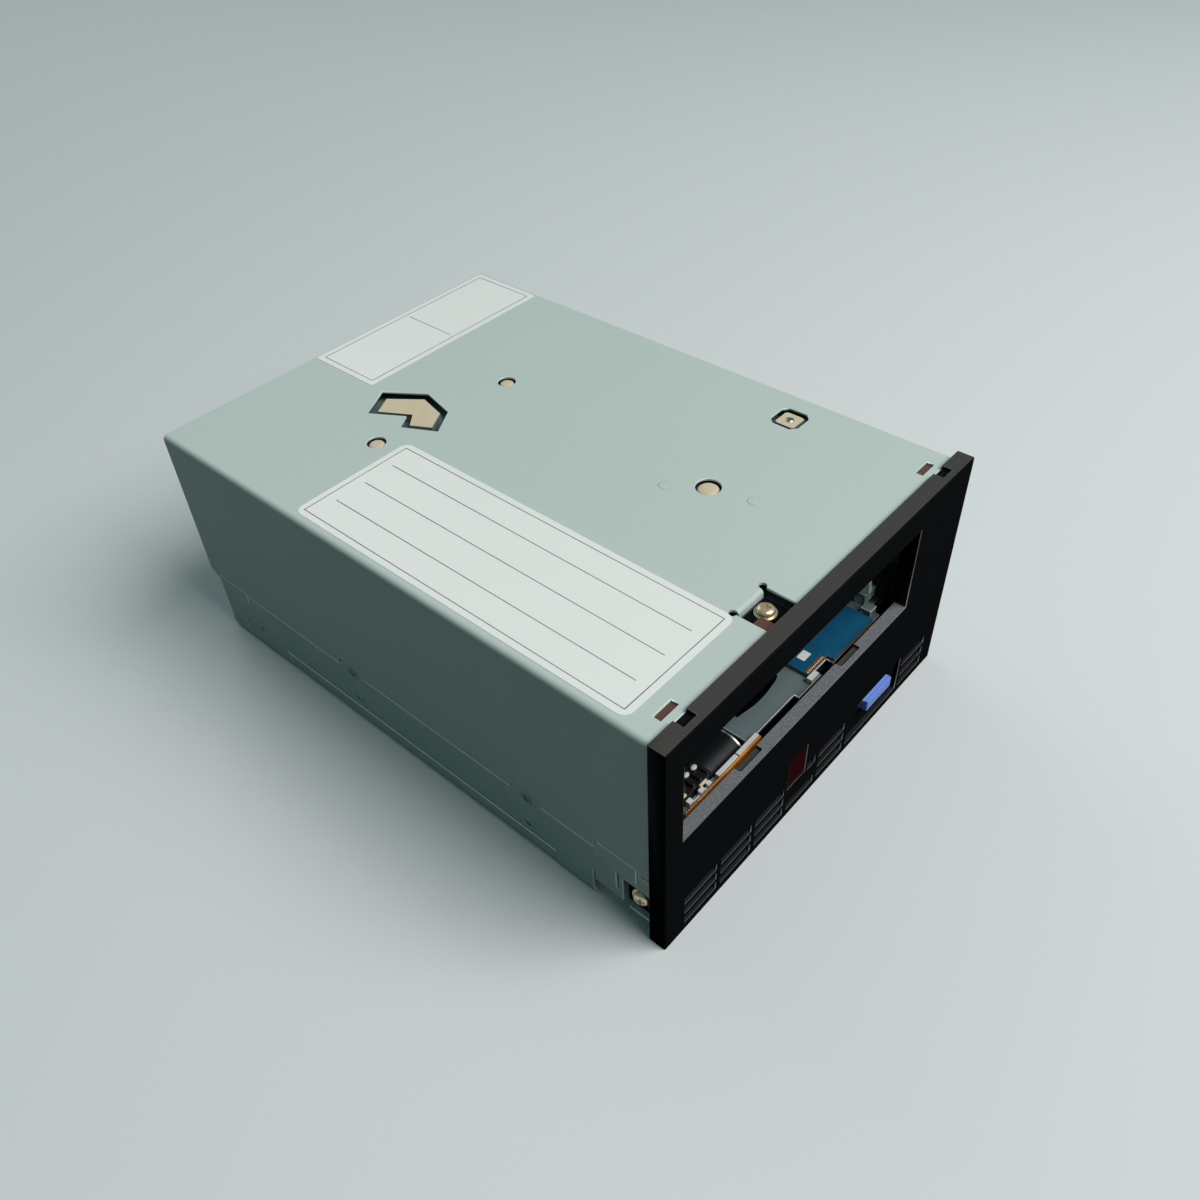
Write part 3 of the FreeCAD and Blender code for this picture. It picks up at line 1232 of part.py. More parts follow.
def make_head():
    """Head actuator: frame with two rods and a magnet, and the carriage with the tape head."""
    rods = [rod("Z", "head_rod", "head_rod_x", f"head_y + {sign} * head_rod_pitch / 2", "deck_top + 2.5", "31")
            for sign in (-1, 1)]
    base = box("59", "71.4", "head_y - 9", "head_y + 9", "deck_top", "deck_top + 2.5")
    cap = box("63.5", "71.4", "head_y - 9", "head_y + 9", "deck_top + 33.5", "deck_top + 36")
    back = box("70.0", "71.4", "head_y - 9", "head_y + 9", "deck_top + 2.5", "deck_top + 33.5")
    finish(fuse(base, cap, back, *rods), "head_frame")
    carriage = box("62.4", "69.4", "head_y - 7", "head_y + 7", "roller_low + 2", "roller_low + 13")
    bores = [rod("Z", "head_rod + running_gap", "head_rod_x", f"head_y + {sign} * head_rod_pitch / 2",
                 "roller_low", "20") for sign in (-1, 1)]
    finish(cut(carriage, *bores), "head_carriage")
    face = rod("Z", "9", "head_face + 9", "head_y", "roller_low + 1", "13")
    keep = box("head_face - 1", "62.4", "head_y - 4.5", "head_y + 4.5", "roller_low", "roller_low + 15")
    common = doc.addObject("Part::Common", "Face")
    common.Base = face
    common.Tool = keep
    finish(common, "tape_head")


def make_threader():
    """Arm that draws the leader from the cartridge to the take-up reel, and the post it swings on."""
    low, high = "61.8", "63.8"
    post = rod("Z", "2.0", "threader_x", "threader_y", low + " - 0.9", "roof_top - 61.8 + 0.9")
    button = rod("Z", "3.4", "threader_x", "threader_y", low + " - 0.9", "0.8")
    collar = rod("Z", "3.4", "threader_x", "threader_y", high + " + 0.1", "roof_top - roof_sheet - 63.9")
    finish(fuse(post, button, collar), "threader_post")
    body = new_body()
    reach = "threader_reach"
    pad(body, "XY", "0", "2", lambda s: outline(s, [
        ("-4", "-4"), ("4", "-4"), (f"{reach} + 1", "-2.2"), (f"{reach} + 2.4", "0"), (f"{reach} + 1", "2.2"),
        ("4", "4"), ("-4", "4"),
    ]))
    pad(body, "XY", "-15.5", "0.5", lambda s: circle(s, reach, "0", "1.4"))
    pocket(body, "XY", "-1", "3", lambda s: circle(s, "0", "0", "2.0 + running_gap"))
    pocket(body, "XY", "-1", "3",
           lambda s: outline(s, [("9", "-1.8"), ("31", "-1.0"), ("31", "1.0"), ("9", "1.8")]))
    turn = Rotation(Vector(0, 0, 1), num("threader_park"))
    finish(body, "threader_arm", "threader_x", "threader_y", low, turn)


# ---------------------------------------------------------------------------------------------------
# Electronics and rear connectors
# ---------------------------------------------------------------------------------------------------
def make_electronics():
    """Main board with its packages, heat sink and the three rear connectors."""
    top = "board_low + board_sheet"
    board = box("-56.5", "56.5", "30", f"{REAR_WALL} - 10.2", "board_low", top)
    chips = [(24, 46, 96, 118, 2.2), (26, 44, 126, 136, 1.2), (-48, -34, 96, 110, 1.6), (-20, 0, 92, 100, 1.2)]
    packages = [box(x0, x1, y0, y1, top, f"{top} + {tall}") for x0, x1, y0, y1, tall in chips]
    finish(fuse(board, *packages), "main_board")
    fins = [box(x0, f"{x0} + 1.2", "97", "117", f"{top} + 3.4", f"{top} + 9") for x0 in range(25, 45, 3)]
    finish(fuse(box("25", "44.2", "97", "117", f"{top} + 2.2", f"{top} + 3.4"), *fins), "heat_sink")

    back = "cover_depth - 1.5"
    shell = box("-55", "3", f"{REAR_WALL} - 14.2", back, top, "20.4")
    mouth = box("-52.5", "0.5", f"{REAR_WALL} - 6.2", "cover_depth", f"{top} + 2.2", "18.2")
    core = box("-50", "-2", f"{REAR_WALL} - 10.2", f"{back} - 2", f"{top} + 4.2", "16.2")
    finish(fuse(cut(shell, mouth), core), "data_connector")
    case = box("34", "56", f"{REAR_WALL} - 14.2", back, top, "19.8")
    well = box("35.6", "54.4", f"{REAR_WALL} - 5.2", "cover_depth", f"{top} + 1.6", "18.2")
    pins = [box(f"36.4 + {i} * 5.1", f"38.2 + {i} * 5.1", f"{REAR_WALL} - 7.2", f"{REAR_WALL} + 0.8",
                "13.8", "15.6") for i in range(4)]
    finish(fuse(cut(case, well), *pins), "power_inlet")
    header = box("12", "26.5", f"{REAR_WALL} - 10.2", f"{REAR_WALL} - 1.2", top, f"{top} + 1.2")
    posts = [box(f"13.2 + {i} * 2.54 - 0.32", f"13.2 + {i} * 2.54 + 0.32", f"{REAR_WALL} - 8.2", f"{back} - 1",
                 f"{top} + {row}", f"{top} + {row} + 0.64") for i in range(5) for row in (1.0, 3.54)]
    riser = box("12", "26.5", f"{REAR_WALL} - 10.2", f"{REAR_WALL} - 4.2", f"{top} + 1.2", f"{top} + 5.2")
    finish(fuse(header, riser, *posts), "id_header")


def make_mouth_lever():
    """White lever beside the front board that tips back when the drive loads."""
    body = new_body()
    pad(body, "YZ", "0", "1.6", lambda s: outline(s, [
        ("-2.2", "-1.6"), ("1.8", "-1.6"), ("2.4", "3.5"), ("1.2", "9.5"), ("-1.4", "13.0"), ("-2.6", "12.2"),
        ("-1.6", "8.0"), ("-2.4", "3.0"),
    ]))
    pad(body, "YZ", "1.6", "4.2", lambda s: rect(s, "-2.2", "1.8", "-1.6", "2.4"))
    pocket(body, "YZ", "-1", "5", lambda s: circle(s, "0", "0", "0.8 + running_gap"))
    finish(body, "mouth_lever", "43.6", "lever_y", "lever_z")


def check(obj):
    """Stops the run when an object or a sub-part's shape isn't sound."""
    bad = [state for state in obj.State if state in ("Invalid", "Error")]
    if bad:
        raise RuntimeError(f"{obj.Label} ({obj.Name}) is {bad}")


make_top_cover()
make_bottom_tray()
make_rear_panel()
make_front_bezel()
make_display_window()
make_eject_button()
make_panel_board()
make_gaskets()
make_screws()
make_deck()
make_roof_plate()
make_guide_plates()
make_front_group()
make_gear_bracket()
make_cartridge_lift()
make_cams()
make_gears()
make_motor("supply", "supply_y")
make_motor("takeup", "takeup_y")
make_supply_spindle()
make_takeup_reel()
make_rollers()
make_head()
make_threader()
make_electronics()
make_mouth_lever()

doc.recompute()
for item in doc.Objects:
    check(item)
for feature in CUTS:
    before = feature.BaseFeature.Shape.Volume
    if feature.Shape.Volume > before - 1e-6:
        raise RuntimeError(f"{feature.Name} in {feature.getParent().Label} removes nothing")
os.makedirs("parts", exist_ok=True)
for part in SUBPARTS:
    shape = part.Shape
    if shape.isNull() or not shape.isValid():
        raise RuntimeError(f"{part.Label} has no valid shape")
    shape.exportStep(os.path.join("parts", f"{part.Label}.step"))
print(len(SUBPARTS), "sub-parts written")
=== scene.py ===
"""Full-height bay tape drive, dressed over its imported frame.  Every length is in metres."""

import json
import logging
import math
from collections.abc import Callable, Mapping, Sequence
from dataclasses import dataclass
from enum import Enum

import bmesh
import bpy
from mathutils import Matrix, Vector

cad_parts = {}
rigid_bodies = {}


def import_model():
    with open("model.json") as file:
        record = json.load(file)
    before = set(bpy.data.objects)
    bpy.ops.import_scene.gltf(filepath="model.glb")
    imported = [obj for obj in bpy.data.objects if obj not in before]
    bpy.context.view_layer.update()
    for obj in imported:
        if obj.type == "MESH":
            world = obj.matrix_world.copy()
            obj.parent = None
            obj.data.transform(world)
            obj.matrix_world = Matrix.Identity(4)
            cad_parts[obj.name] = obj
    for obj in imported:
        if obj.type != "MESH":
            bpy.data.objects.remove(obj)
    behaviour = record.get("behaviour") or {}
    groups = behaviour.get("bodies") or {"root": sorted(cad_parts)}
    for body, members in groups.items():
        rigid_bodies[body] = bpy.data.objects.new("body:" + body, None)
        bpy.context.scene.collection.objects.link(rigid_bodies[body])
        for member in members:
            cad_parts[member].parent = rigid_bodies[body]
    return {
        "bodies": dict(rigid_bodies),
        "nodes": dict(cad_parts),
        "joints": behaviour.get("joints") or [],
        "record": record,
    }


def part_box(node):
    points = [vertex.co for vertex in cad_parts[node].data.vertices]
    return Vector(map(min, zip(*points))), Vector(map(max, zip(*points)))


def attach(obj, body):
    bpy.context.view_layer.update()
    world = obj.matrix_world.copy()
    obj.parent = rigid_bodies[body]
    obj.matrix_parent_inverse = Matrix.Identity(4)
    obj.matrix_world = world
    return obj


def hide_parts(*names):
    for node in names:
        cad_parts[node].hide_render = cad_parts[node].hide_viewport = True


log = logging.getLogger("tape_drive")

Object = bpy.types.Object
Mesh = bpy.types.Mesh
Material = bpy.types.Material
Socket = bpy.types.NodeSocket
Shape = bmesh.types.BMesh
Face = bmesh.types.BMFace
Pair = tuple[float, float]
Point = tuple[float, float, float]
Area = tuple[float, float, float, float]
Value = Socket | Material | Object | str | float | Sequence[float]

ORIGIN = Matrix()
QUARTER = math.pi / 2
CREASE = math.radians(40)


def srgb(red: int, green: int, blue: int) -> Point:
    """Turns a display colour into a linear one.

    Args:
        red: Red, from 0 to 255.
        green: Green, from 0 to 255.
        blue: Blue, from 0 to 255.

    Returns:
        The linear colour.
    """
    def one(level: int) -> float:
        """Linear share of one channel."""
        share = level / 255.0
        return share / 12.92 if share <= 0.04045 else ((share + 0.055) / 1.055) ** 2.4

    return one(red), one(green), one(blue)


def link(thing: Object) -> Object:
    """Puts an object in the scene and returns it."""
    bpy.context.scene.collection.objects.link(thing)
    return thing


def melt(mesh: Mesh) -> Shape:
    """Makes a working shape from a mesh.

    Args:
        mesh: The mesh.

    Returns:
        The working shape.
    """
    shape = bmesh.new()
    shape.from_mesh(mesh)
    return shape


def pour(shape: Shape, mesh: Mesh | str) -> Mesh:
    """Writes a working shape to a mesh and lets the shape go.

    Args:
        shape: The working shape.
        mesh: The mesh, or the name of a new one.

    Returns:
        The mesh.
    """
    if isinstance(mesh, str):
        mesh = bpy.data.meshes.new(mesh)
    shape.to_mesh(mesh)
    shape.free()
    return mesh


def rounded(x0: float, y0: float, x1: float, y1: float, radius: float, steps: int = 6) -> list[Pair]:
    """Draws a rectangle with round corners, anticlockwise.

    Args:
        x0: Left.
        y0: Front.
        x1: Right.
        y1: Rear.
        radius: Corner radius.
        steps: Faces round each corner.

    Returns:
        The corner points.
    """
    points = []
    for cx, cy, start in ((x1 - radius, y1 - radius, 0), (x0 + radius, y1 - radius, 90),
                          (x0 + radius, y0 + radius, 180), (x1 - radius, y0 + radius, 270)):
        for i in range(steps + 1):
            angle = math.radians(start + 90.0 * i / steps)
            points.append((cx + radius * math.cos(angle), cy + radius * math.sin(angle)))
    return points


class Tree:
    """Adds and joins the nodes of a material, a world or a geometry tree."""

    def __init__(self, group: bpy.types.NodeTree) -> None:
        """Keeps the node tree."""
        self.group = group

    def fill(self, node: bpy.types.Node, values: Mapping[str | int, Value]) -> None:
        """Links or sets a node's inputs.

        Args:
            node: The node.
            values: A socket to link or a plain value, for each input's name or number.
        """
        for key, value in values.items():
            if isinstance(value, Socket):
                self.group.links.new(value, node.inputs[key])
            else:
                node.inputs[key].default_value = value

    def add(self, kind: str, values: Mapping[str | int, Value] | None = None,
            **settings: str) -> bpy.types.Node:
        """Adds a node.

        Args:
            kind: Its type.
            values: What its inputs get.
            settings: Its properties.

        Returns:
            The node.
        """
        node = self.group.nodes.new(kind)
        for key, setting in settings.items():
            setattr(node, key, setting)
        self.fill(node, values or {})
        return node

    def blend(self, share: Socket, first: Sequence[float], second: Sequence[float]) -> Socket:
        """Mixes two colours.

        Args:
            share: Share of the second colour.
            first: Linear colour at 0.
            second: Linear colour at 1.

        Returns:
            The mixed colour's socket.
        """
        mix = self.add("ShaderNodeMix", {"Factor": share}, data_type="RGBA")
        ends = [socket for socket in mix.inputs if socket.type == "RGBA"]
        for socket, colour in zip(ends, (first, second)):
            socket.default_value = (*colour, 1.0)
        return next(socket for socket in mix.outputs if socket.type == "RGBA")

    def noise(self, place: Socket, scale: Point, detail: float) -> Socket:
        """Adds a noise texture stretched by a mapping.

        Args:
            place: Socket with the coordinates.
            scale: Scale along each axis.
            detail: Octaves of the noise.

        Returns:
            The noise's value socket.
        """
        mapping = self.add("ShaderNodeMapping", {"Vector": place, "Scale": scale})
        noise = self.add("ShaderNodeTexNoise", {
            "Vector": mapping.outputs["Vector"], "Scale": 1.0, "Detail": detail})
        return noise.outputs["Fac"]


# Finishes


class Grain(Enum):
    """How the surface's fine relief runs."""

    EVEN = "alike in every direction, as moulded, painted or cast"
    ROLLED = "drawn out along Y, as rolled sheet"
    TURNED = "in rings about Z, as turned metal"
    WEAVE = "crossed threads"


@dataclass(frozen=True)
class Finish:
    """One finish: a colour that varies slowly, a spread of roughness and a fine relief.

    A rolled sheet's grains are DRAWN times as many along Y, and a turned piece's follow RINGED. THREADS is
    the scale of a thread one grain wide. Patches and grains have their own OCTAVES of noise, whose useful
    BAND is spread over the roughness, which is never below SMOOTH.

    Args:
        slot: The record's material slot.
        colour: Linear base colour.
        roughness: Middle roughness.
        grain_size: Size of the relief's grains.
        grain_depth: Height of the relief.
        grain: How the relief runs.
        metallic: 1 for bare metal.
        mottle: Share by which the colour darkens and lightens.
        mottle_size: Size of the colour's patches.
        spread: How far the roughness wanders.
        coat: Weight of a clear coat.
        shine: Specular level.
        variant: Added to the material's name when a slot has more than one look.
    """

    DRAWN = 0.04
    RINGED = (0.3, 0.3, 2.0)
    THREADS = 0.16
    OCTAVES = (3.0, 4.0)
    BAND = (0.3, 0.7)
    SMOOTH = 0.02

    slot: str
    colour: Point
    roughness: float
    grain_size: float
    grain_depth: float
    grain: Grain = Grain.EVEN
    metallic: float = 0.0
    mottle: float = 0.05
    mottle_size: float = 0.03
    spread: float = 0.06
    coat: float = 0.0
    shine: float = 0.5
    variant: str = ""

    @property
    def label(self) -> str:
        """Name of the material, which no imported one has."""
        return "finish_" + self.slot + self.variant

    def stretch(self) -> Point:
        """Works out how many grains fit in a metre along each axis.

        Returns:
            Grains in a metre along X, Y and Z.
        """
        per = 1.0 / self.grain_size
        if self.grain is Grain.ROLLED:
            return per, per * self.DRAWN, per
        if self.grain is Grain.TURNED:
            return tuple(per * share for share in self.RINGED)
        return per, per, per

    def shades(self) -> list[tuple[float, ...]]:
        """Darkest and lightest colour of the mottle."""
        return [tuple(min(1.0, level * share) for level in self.colour)
                for share in (1.0 - self.mottle, 1.0 + self.mottle)]

    def weave(self, tree: Tree, place: Socket) -> Socket:
        """Adds two crossed sets of threads.

        Args:
            tree: The material's tree.
            place: Socket with the coordinates.

        Returns:
            The threads' height socket.
        """
        heights = []
        for direction in ("X", "Y"):
            wave = tree.add("ShaderNodeTexWave", {
                "Scale": self.THREADS / self.grain_size, "Distortion": 0.4, "Vector": place},
                bands_direction=direction)
            heights.append(wave.outputs["Fac"])
        join = tree.add("ShaderNodeMath", {0: heights[0], 1: heights[1]}, operation="MAXIMUM")
        return join.outputs["Value"]

    def make(self) -> Material:
        """Builds the material, once.

        Returns:
            The material.
        """
        made = bpy.data.materials.get(self.label)
        if made:
            return made
        made = bpy.data.materials.new(self.label)
        made.use_nodes = True
        tree = Tree(made.node_tree)
        place = tree.add("ShaderNodeTexCoord").outputs["Object"]
        patches = tree.noise(place, (1.0 / self.mottle_size,) * 3, self.OCTAVES[0])
        fine = tree.noise(place, self.stretch(), self.OCTAVES[1])
        rough = tree.add("ShaderNodeMapRange", {
            "Value": fine, "From Min": self.BAND[0], "From Max": self.BAND[1],
            "To Min": max(self.SMOOTH, self.roughness - self.spread),
            "To Max": min(1.0, self.roughness + self.spread)})
        woven = self.grain is Grain.WEAVE
        bump = tree.add("ShaderNodeBump", {
            "Strength": 1.0, "Distance": self.grain_depth,
            "Height": self.weave(tree, place) if woven else fine})
        tree.fill(made.node_tree.nodes["Principled BSDF"], {
            "Base Color": tree.blend(patches, *self.shades()), "Roughness": rough.outputs["Result"],
            "Normal": bump.outputs["Normal"], "Metallic": self.metallic, "Specular IOR Level": self.shine,
            "Coat Weight": self.coat, "Coat Roughness": 0.15, "Sheen Weight": 0.3 if woven else 0.0})
        return made


COVER = Finish("cover_paint", srgb(185, 195, 189), 0.5, 0.00035, 0.000004, mottle=0.02, mottle_size=0.06,
               shine=0.2)
COVER_EDGE = Finish("cover_paint", srgb(214, 224, 218), 0.4, 0.0003, 0.000002, grain=Grain.ROLLED,
                    metallic=0.2, variant="_edge")
TRAY = Finish("zinc_sheet", srgb(181, 194, 184), 0.45, 0.0005, 0.000003, grain=Grain.ROLLED, mottle=0.04,
              mottle_size=0.05, shine=0.2)
TRAY_EDGE = Finish("zinc_sheet", srgb(236, 242, 236), 0.36, 0.0003, 0.000002, grain=Grain.ROLLED,
                   metallic=0.2, variant="_edge")
BEZEL = Finish("bezel_plastic", srgb(19, 20, 21), 0.5, 0.00035, 0.00001, mottle=0.06, mottle_size=0.01,
               spread=0.1, shine=0.0)
# Painted light: the bezel's upward faces, its top and the slot floors in the ledge, are its black plastic
# made lighter and browner to stand for the light and sheen on them, with a speckle.
BEZEL_TOP_PAINTED_LIGHT = Finish("bezel_plastic", srgb(62, 59, 56), 0.5, 0.0005, 0.00004, mottle=0.12, mottle_size=0.0008,
                   spread=0.1, shine=0.4, variant="_top")
# Painted highlight: the bezel's rounded edges are much lighter than its black plastic.
BEZEL_EDGE_PAINTED_HIGHLIGHT = Finish("bezel_plastic", srgb(86, 88, 89), 0.32, 0.0003, 0.00001, shine=0.5, variant="_edge")
# Painted light: the upward sides of the louvres and recesses in the front are lighter than the black plastic,
# as though lit.
LOUVRE_PAINTED_LIGHT = Finish("bezel_plastic", srgb(36, 37, 38), 0.4, 0.0004, 0.00001, shine=0.1, variant="_louvre")
# Partly painted light: the ledge's upward faces are the black plastic made mid grey as though lit; the strong
# fine mottle is the ledge's speckled texture.
LEDGE_SPECKLE_AND_PAINTED_LIGHT = Finish("bezel_plastic", srgb(108, 109, 112), 0.6, 0.00045, 0.00008, mottle=0.9, mottle_size=0.0005,
               spread=0.12, shine=0.3, variant="_ledge")
WINDOW = Finish("smoked_red", srgb(48, 14, 17), 0.2, 0.002, 0.000001, mottle=0.15, mottle_size=0.006,
                shine=0.0)
# Painted highlight: the window's rounded edges are a lighter red than the pane.
WINDOW_EDGE_PAINTED_HIGHLIGHT = Finish("smoked_red", srgb(120, 62, 60), 0.3, 0.002, 0.000001, variant="_edge")
BUTTON = Finish("button_plastic", srgb(102, 134, 216), 0.42, 0.0002, 0.000006, mottle=0.03,
                mottle_size=0.004)
SWITCH = Finish("switch_plastic", srgb(30, 30, 30), 0.5, 0.0003, 0.00001)
BOARD = Finish("circuit_board", srgb(28, 92, 58), 0.35, 0.0008, 0.000006, mottle=0.18, mottle_size=0.004,
               coat=0.3)
SHADED_BOARD = Finish("circuit_board", srgb(9, 22, 17), 0.5, 0.0008, 0.000006, shine=0.05,
                      variant="_shaded")
BLUE_BOARD = Finish("blue_board", srgb(20, 80, 112), 0.32, 0.0007, 0.000008, mottle=0.16, mottle_size=0.003,
                    shine=0.3)
LAMINATE = Finish("blue_board", srgb(112, 88, 54), 0.6, 0.0003, 0.00001, grain=Grain.ROLLED, mottle=0.15,
                  mottle_size=0.001, variant="_laminate")
GASKET = Finish("gasket_foam", srgb(90, 48, 38), 0.6, 0.0003, 0.00004, grain=Grain.WEAVE, metallic=0.15,
                mottle=0.2, mottle_size=0.001)
GOLD = Finish("gold_screw", srgb(236, 212, 180), 0.3, 0.0003, 0.000003, grain=Grain.TURNED, metallic=0.75,
              mottle=0.1, mottle_size=0.0012)
DECK = Finish("cast_deck", srgb(150, 152, 154), 0.5, 0.0006, 0.00003, metallic=0.8, mottle=0.08)
STEEL = Finish("bright_steel", srgb(196, 198, 194), 0.34, 0.0005, 0.000003, grain=Grain.ROLLED,
               metallic=0.9)
PLATE = Finish("pale_plate", srgb(112, 126, 128), 0.45, 0.0006, 0.000004, grain=Grain.ROLLED, metallic=0.3,
               mottle=0.07, mottle_size=0.008, shine=0.3)
PLATE_EDGE = Finish("pale_plate", srgb(214, 222, 220), 0.3, 0.0004, 0.000003, grain=Grain.ROLLED,
                    metallic=0.3, variant="_edge")
PAD = Finish("pale_plate", srgb(206, 188, 158), 0.5, 0.0005, 0.00001, mottle=0.07, mottle_size=0.004,
             variant="_pad")
MOTOR = Finish("motor_black", srgb(17, 20, 22), 0.42, 0.0006, 0.000004, grain=Grain.TURNED, metallic=0.1,
               spread=0.06, shine=0.2)
ROTOR = Finish("motor_steel", srgb(170, 172, 172), 0.3, 0.0005, 0.000003, grain=Grain.TURNED, metallic=1.0)
STATOR = Finish("stator_iron", srgb(146, 82, 44), 0.45, 0.0004, 0.00003, grain=Grain.TURNED, metallic=0.6,
                mottle=0.2, mottle_size=0.002)
NYLON = Finish("connector_white", srgb(200, 201, 196), 0.45, 0.0005, 0.000006, mottle=0.04,
               mottle_size=0.002)
FLEX = Finish("flex_film", srgb(216, 134, 44), 0.28, 0.001, 0.000004, mottle=0.14, mottle_size=0.003,
              coat=0.3)
CLIP = Finish("clip_black", srgb(20, 20, 21), 0.38, 0.0004, 0.000012, mottle=0.1, mottle_size=0.002)
SLEEVE = Finish("connector_white", srgb(206, 190, 160), 0.5, 0.0004, 0.000008, mottle=0.1,
                mottle_size=0.001, variant="_sleeve")
GEAR = Finish("gear_plastic", srgb(222, 220, 208), 0.4, 0.0006, 0.000006, mottle=0.03)
BRASS = Finish("pinion_brass", srgb(206, 174, 100), 0.26, 0.0003, 0.000002, grain=Grain.TURNED,
               metallic=1.0)
REEL = Finish("reel_plastic", srgb(38, 38, 40), 0.4, 0.0004, 0.00001)
FLANGE = Finish("clear_flange", srgb(150, 154, 158), 0.34, 0.0006, 0.000006)
ROLLER = Finish("roller_metal", srgb(206, 208, 210), 0.16, 0.0003, 0.000001, grain=Grain.TURNED,
                metallic=1.0)
CERAMIC = Finish("head_ceramic", srgb(64, 58, 54), 0.15, 0.0004, 0.000001, mottle=0.2)
CARRIAGE = Finish("carriage_alloy", srgb(150, 152, 156), 0.4, 0.0004, 0.00001, metallic=0.9)
SINK = Finish("sink_black", srgb(34, 34, 36), 0.42, 0.0004, 0.000006, grain=Grain.ROLLED, metallic=0.5)
SOCKET = Finish("connector_black", srgb(26, 26, 27), 0.45, 0.0004, 0.000012)
LEVER = Finish("lever_white", srgb(234, 238, 226), 0.4, 0.0006, 0.000005, mottle=0.05, mottle_size=0.003)
PAPER = Finish("cover_paint", srgb(231, 230, 226), 0.38, 0.0012, 0.000003, mottle=0.012, mottle_size=0.02,
               variant="_label")
INK = Finish("cover_paint", srgb(120, 124, 122), 0.5, 0.0008, 0.000002, variant="_rule")
CONTACT = Finish("gold_screw", srgb(226, 150, 66), 0.3, 0.0004, 0.000001, metallic=0.6, variant="_contact")
TIN = Finish("bright_steel", srgb(214, 214, 210), 0.28, 0.0002, 0.000004, metallic=1.0, variant="_tinned")


# The maker's tools


class Bench:
    """Makes pieces and hands them to the frame.

    Corners nearer than WELD are one, and folds flatter than FLAT are dissolved. Folds sharper than FOLD are
    rounded where the neighbouring edges are longer than ROOM widths. An edge longer than LONG widths also
    needs a width's distance from the far corners of its faces, apart from those within a SPECK of its line
    and those past its ends by more than BEYOND of its length. Faces whose normals' product is above PLANE
    lie in one plane. A region is filled well if its area is right within the share MISFIT. A radius below
    AXIS is on the axis.
    """

    WELD = 0.000002
    FLAT = math.radians(0.8)
    FOLD = math.radians(32.0)
    ROOM = 1.05
    LONG = 12
    SPECK = 0.00001
    BEYOND = 0.1
    PLANE = 0.99999
    MISFIT = 0.01
    AXIS = 1e-7

    def __init__(self, frame: dict) -> None:
        """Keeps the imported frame.
        """
        self.frame = frame
        self.body_of = {node: body for body, members in frame["record"]["behaviour"]["bodies"].items()
                        for node in members}

    @staticmethod
    def hand_over(piece: Object, finish: Finish, body: str = "chassis",
                  stands_for: Sequence[str] = ()) -> Object:
        """Puts a piece on its body and hides the CAD nodes that it stands for.

        Args:
            piece: The finished piece.
            finish: The piece's finish, which is not used.
            body: The body it rides on.
            stands_for: CAD nodes that it replaces.

        Returns:
            The same piece.
        """
        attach(piece, body)
        if stands_for:
            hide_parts(*stands_for)
        log.info("piece %s: %d faces, on %s", piece.name, len(piece.data.polygons), body)
        return piece

    @staticmethod
    def add(name: str, mesh: Mesh, *finishes: Finish, smooth: bool = True) -> Object:
        """Links a mesh as a piece.

        Args:
            name: Name of the piece.
            mesh: Its mesh, already in place.
            finishes: Finishes in material order.
            smooth: Whether its faces shade smoothly.

        Returns:
            The new object.
        """
        mesh.materials.clear()
        for finish in finishes:
            mesh.materials.append(finish.make())
        if smooth:
            mesh.polygons.foreach_set("use_smooth", [True] * len(mesh.polygons))
        return link(bpy.data.objects.new(name, mesh))

    def put(self, name: str, mesh: Mesh, finish: Finish, width: float = 0.0, segments: int = 1,
            creased: bool = False, stands_for: Sequence[str] = ()) -> Object:
        """Adds a mesh as a piece of the chassis, eases or creases it and hands it over.

        Args:
            name: Name of the piece.
            mesh: Its mesh, already in place.
            finish: Its finish.
            width: Width of its rounded edges, or 0 for none.
            segments: Faces across each.
            creased: Whether its sharp folds shade as folds.
            stands_for: CAD nodes that it replaces.

        Returns:
            The new piece.
        """
        piece = self.add(name, mesh, finish)
        if width:
            self.ease(piece, width, segments)
        if creased:
            piece.data.set_sharp_from_angle(angle=CREASE)
        return self.hand_over(piece, finish, stands_for=stands_for)

    @staticmethod
    def bake(piece: Object) -> Object:
        """Turns a piece and its modifiers into a plain mesh, keeping its materials.

        Args:
            piece: The piece.

        Returns:
            The same piece.
        """
        bpy.context.view_layer.update()
        graph = bpy.context.evaluated_depsgraph_get()
        mesh = bpy.data.meshes.new_from_object(piece.evaluated_get(graph))
        piece.modifiers.clear()
        old = piece.data
        piece.data = mesh
        bpy.data.meshes.remove(old)
        return piece

    @classmethod
    def hemmed(cls, edge: bmesh.types.BMEdge, width: float) -> bool:
        """Tells whether a long edge runs closer than the width to a far corner of its faces.

        Args:
            edge: The edge.
            width: Width of the rounding.

        Returns:
            True if the rounding would fold over that corner.
        """
        foot = edge.verts[0].co
        way = edge.verts[1].co - foot
        if way.length < cls.LONG * width:
            return False
        for face in edge.link_faces:
            for vert in face.verts:
                step = vert.co - foot
                share = step.dot(way) / way.length_squared
                off = (step - share * way).length
                if cls.SPECK < off < width and not -cls.BEYOND < share < 1.0 + cls.BEYOND:
                    return True
        return False

    def mark_edges(self, mesh: Mesh, width: float) -> None:
        """Marks the outward sharp edges that have room for a rounding, and keeps the others sharp.

        Args:
            mesh: The mesh.
            width: Width of the rounding.
        """
        shape = melt(mesh)
        weights = shape.edges.layers.float.new("bevel_weight_edge")
        for edge in shape.edges:
            if edge.calc_face_angle(0.0) < self.FOLD:
                continue
            shortest = min(other.calc_length() for vert in edge.verts for other in vert.link_edges)
            if edge.is_convex and shortest > self.ROOM * width and not self.hemmed(edge, width):
                edge[weights] = 1.0
            else:
                edge.smooth = False
        pour(shape, mesh)

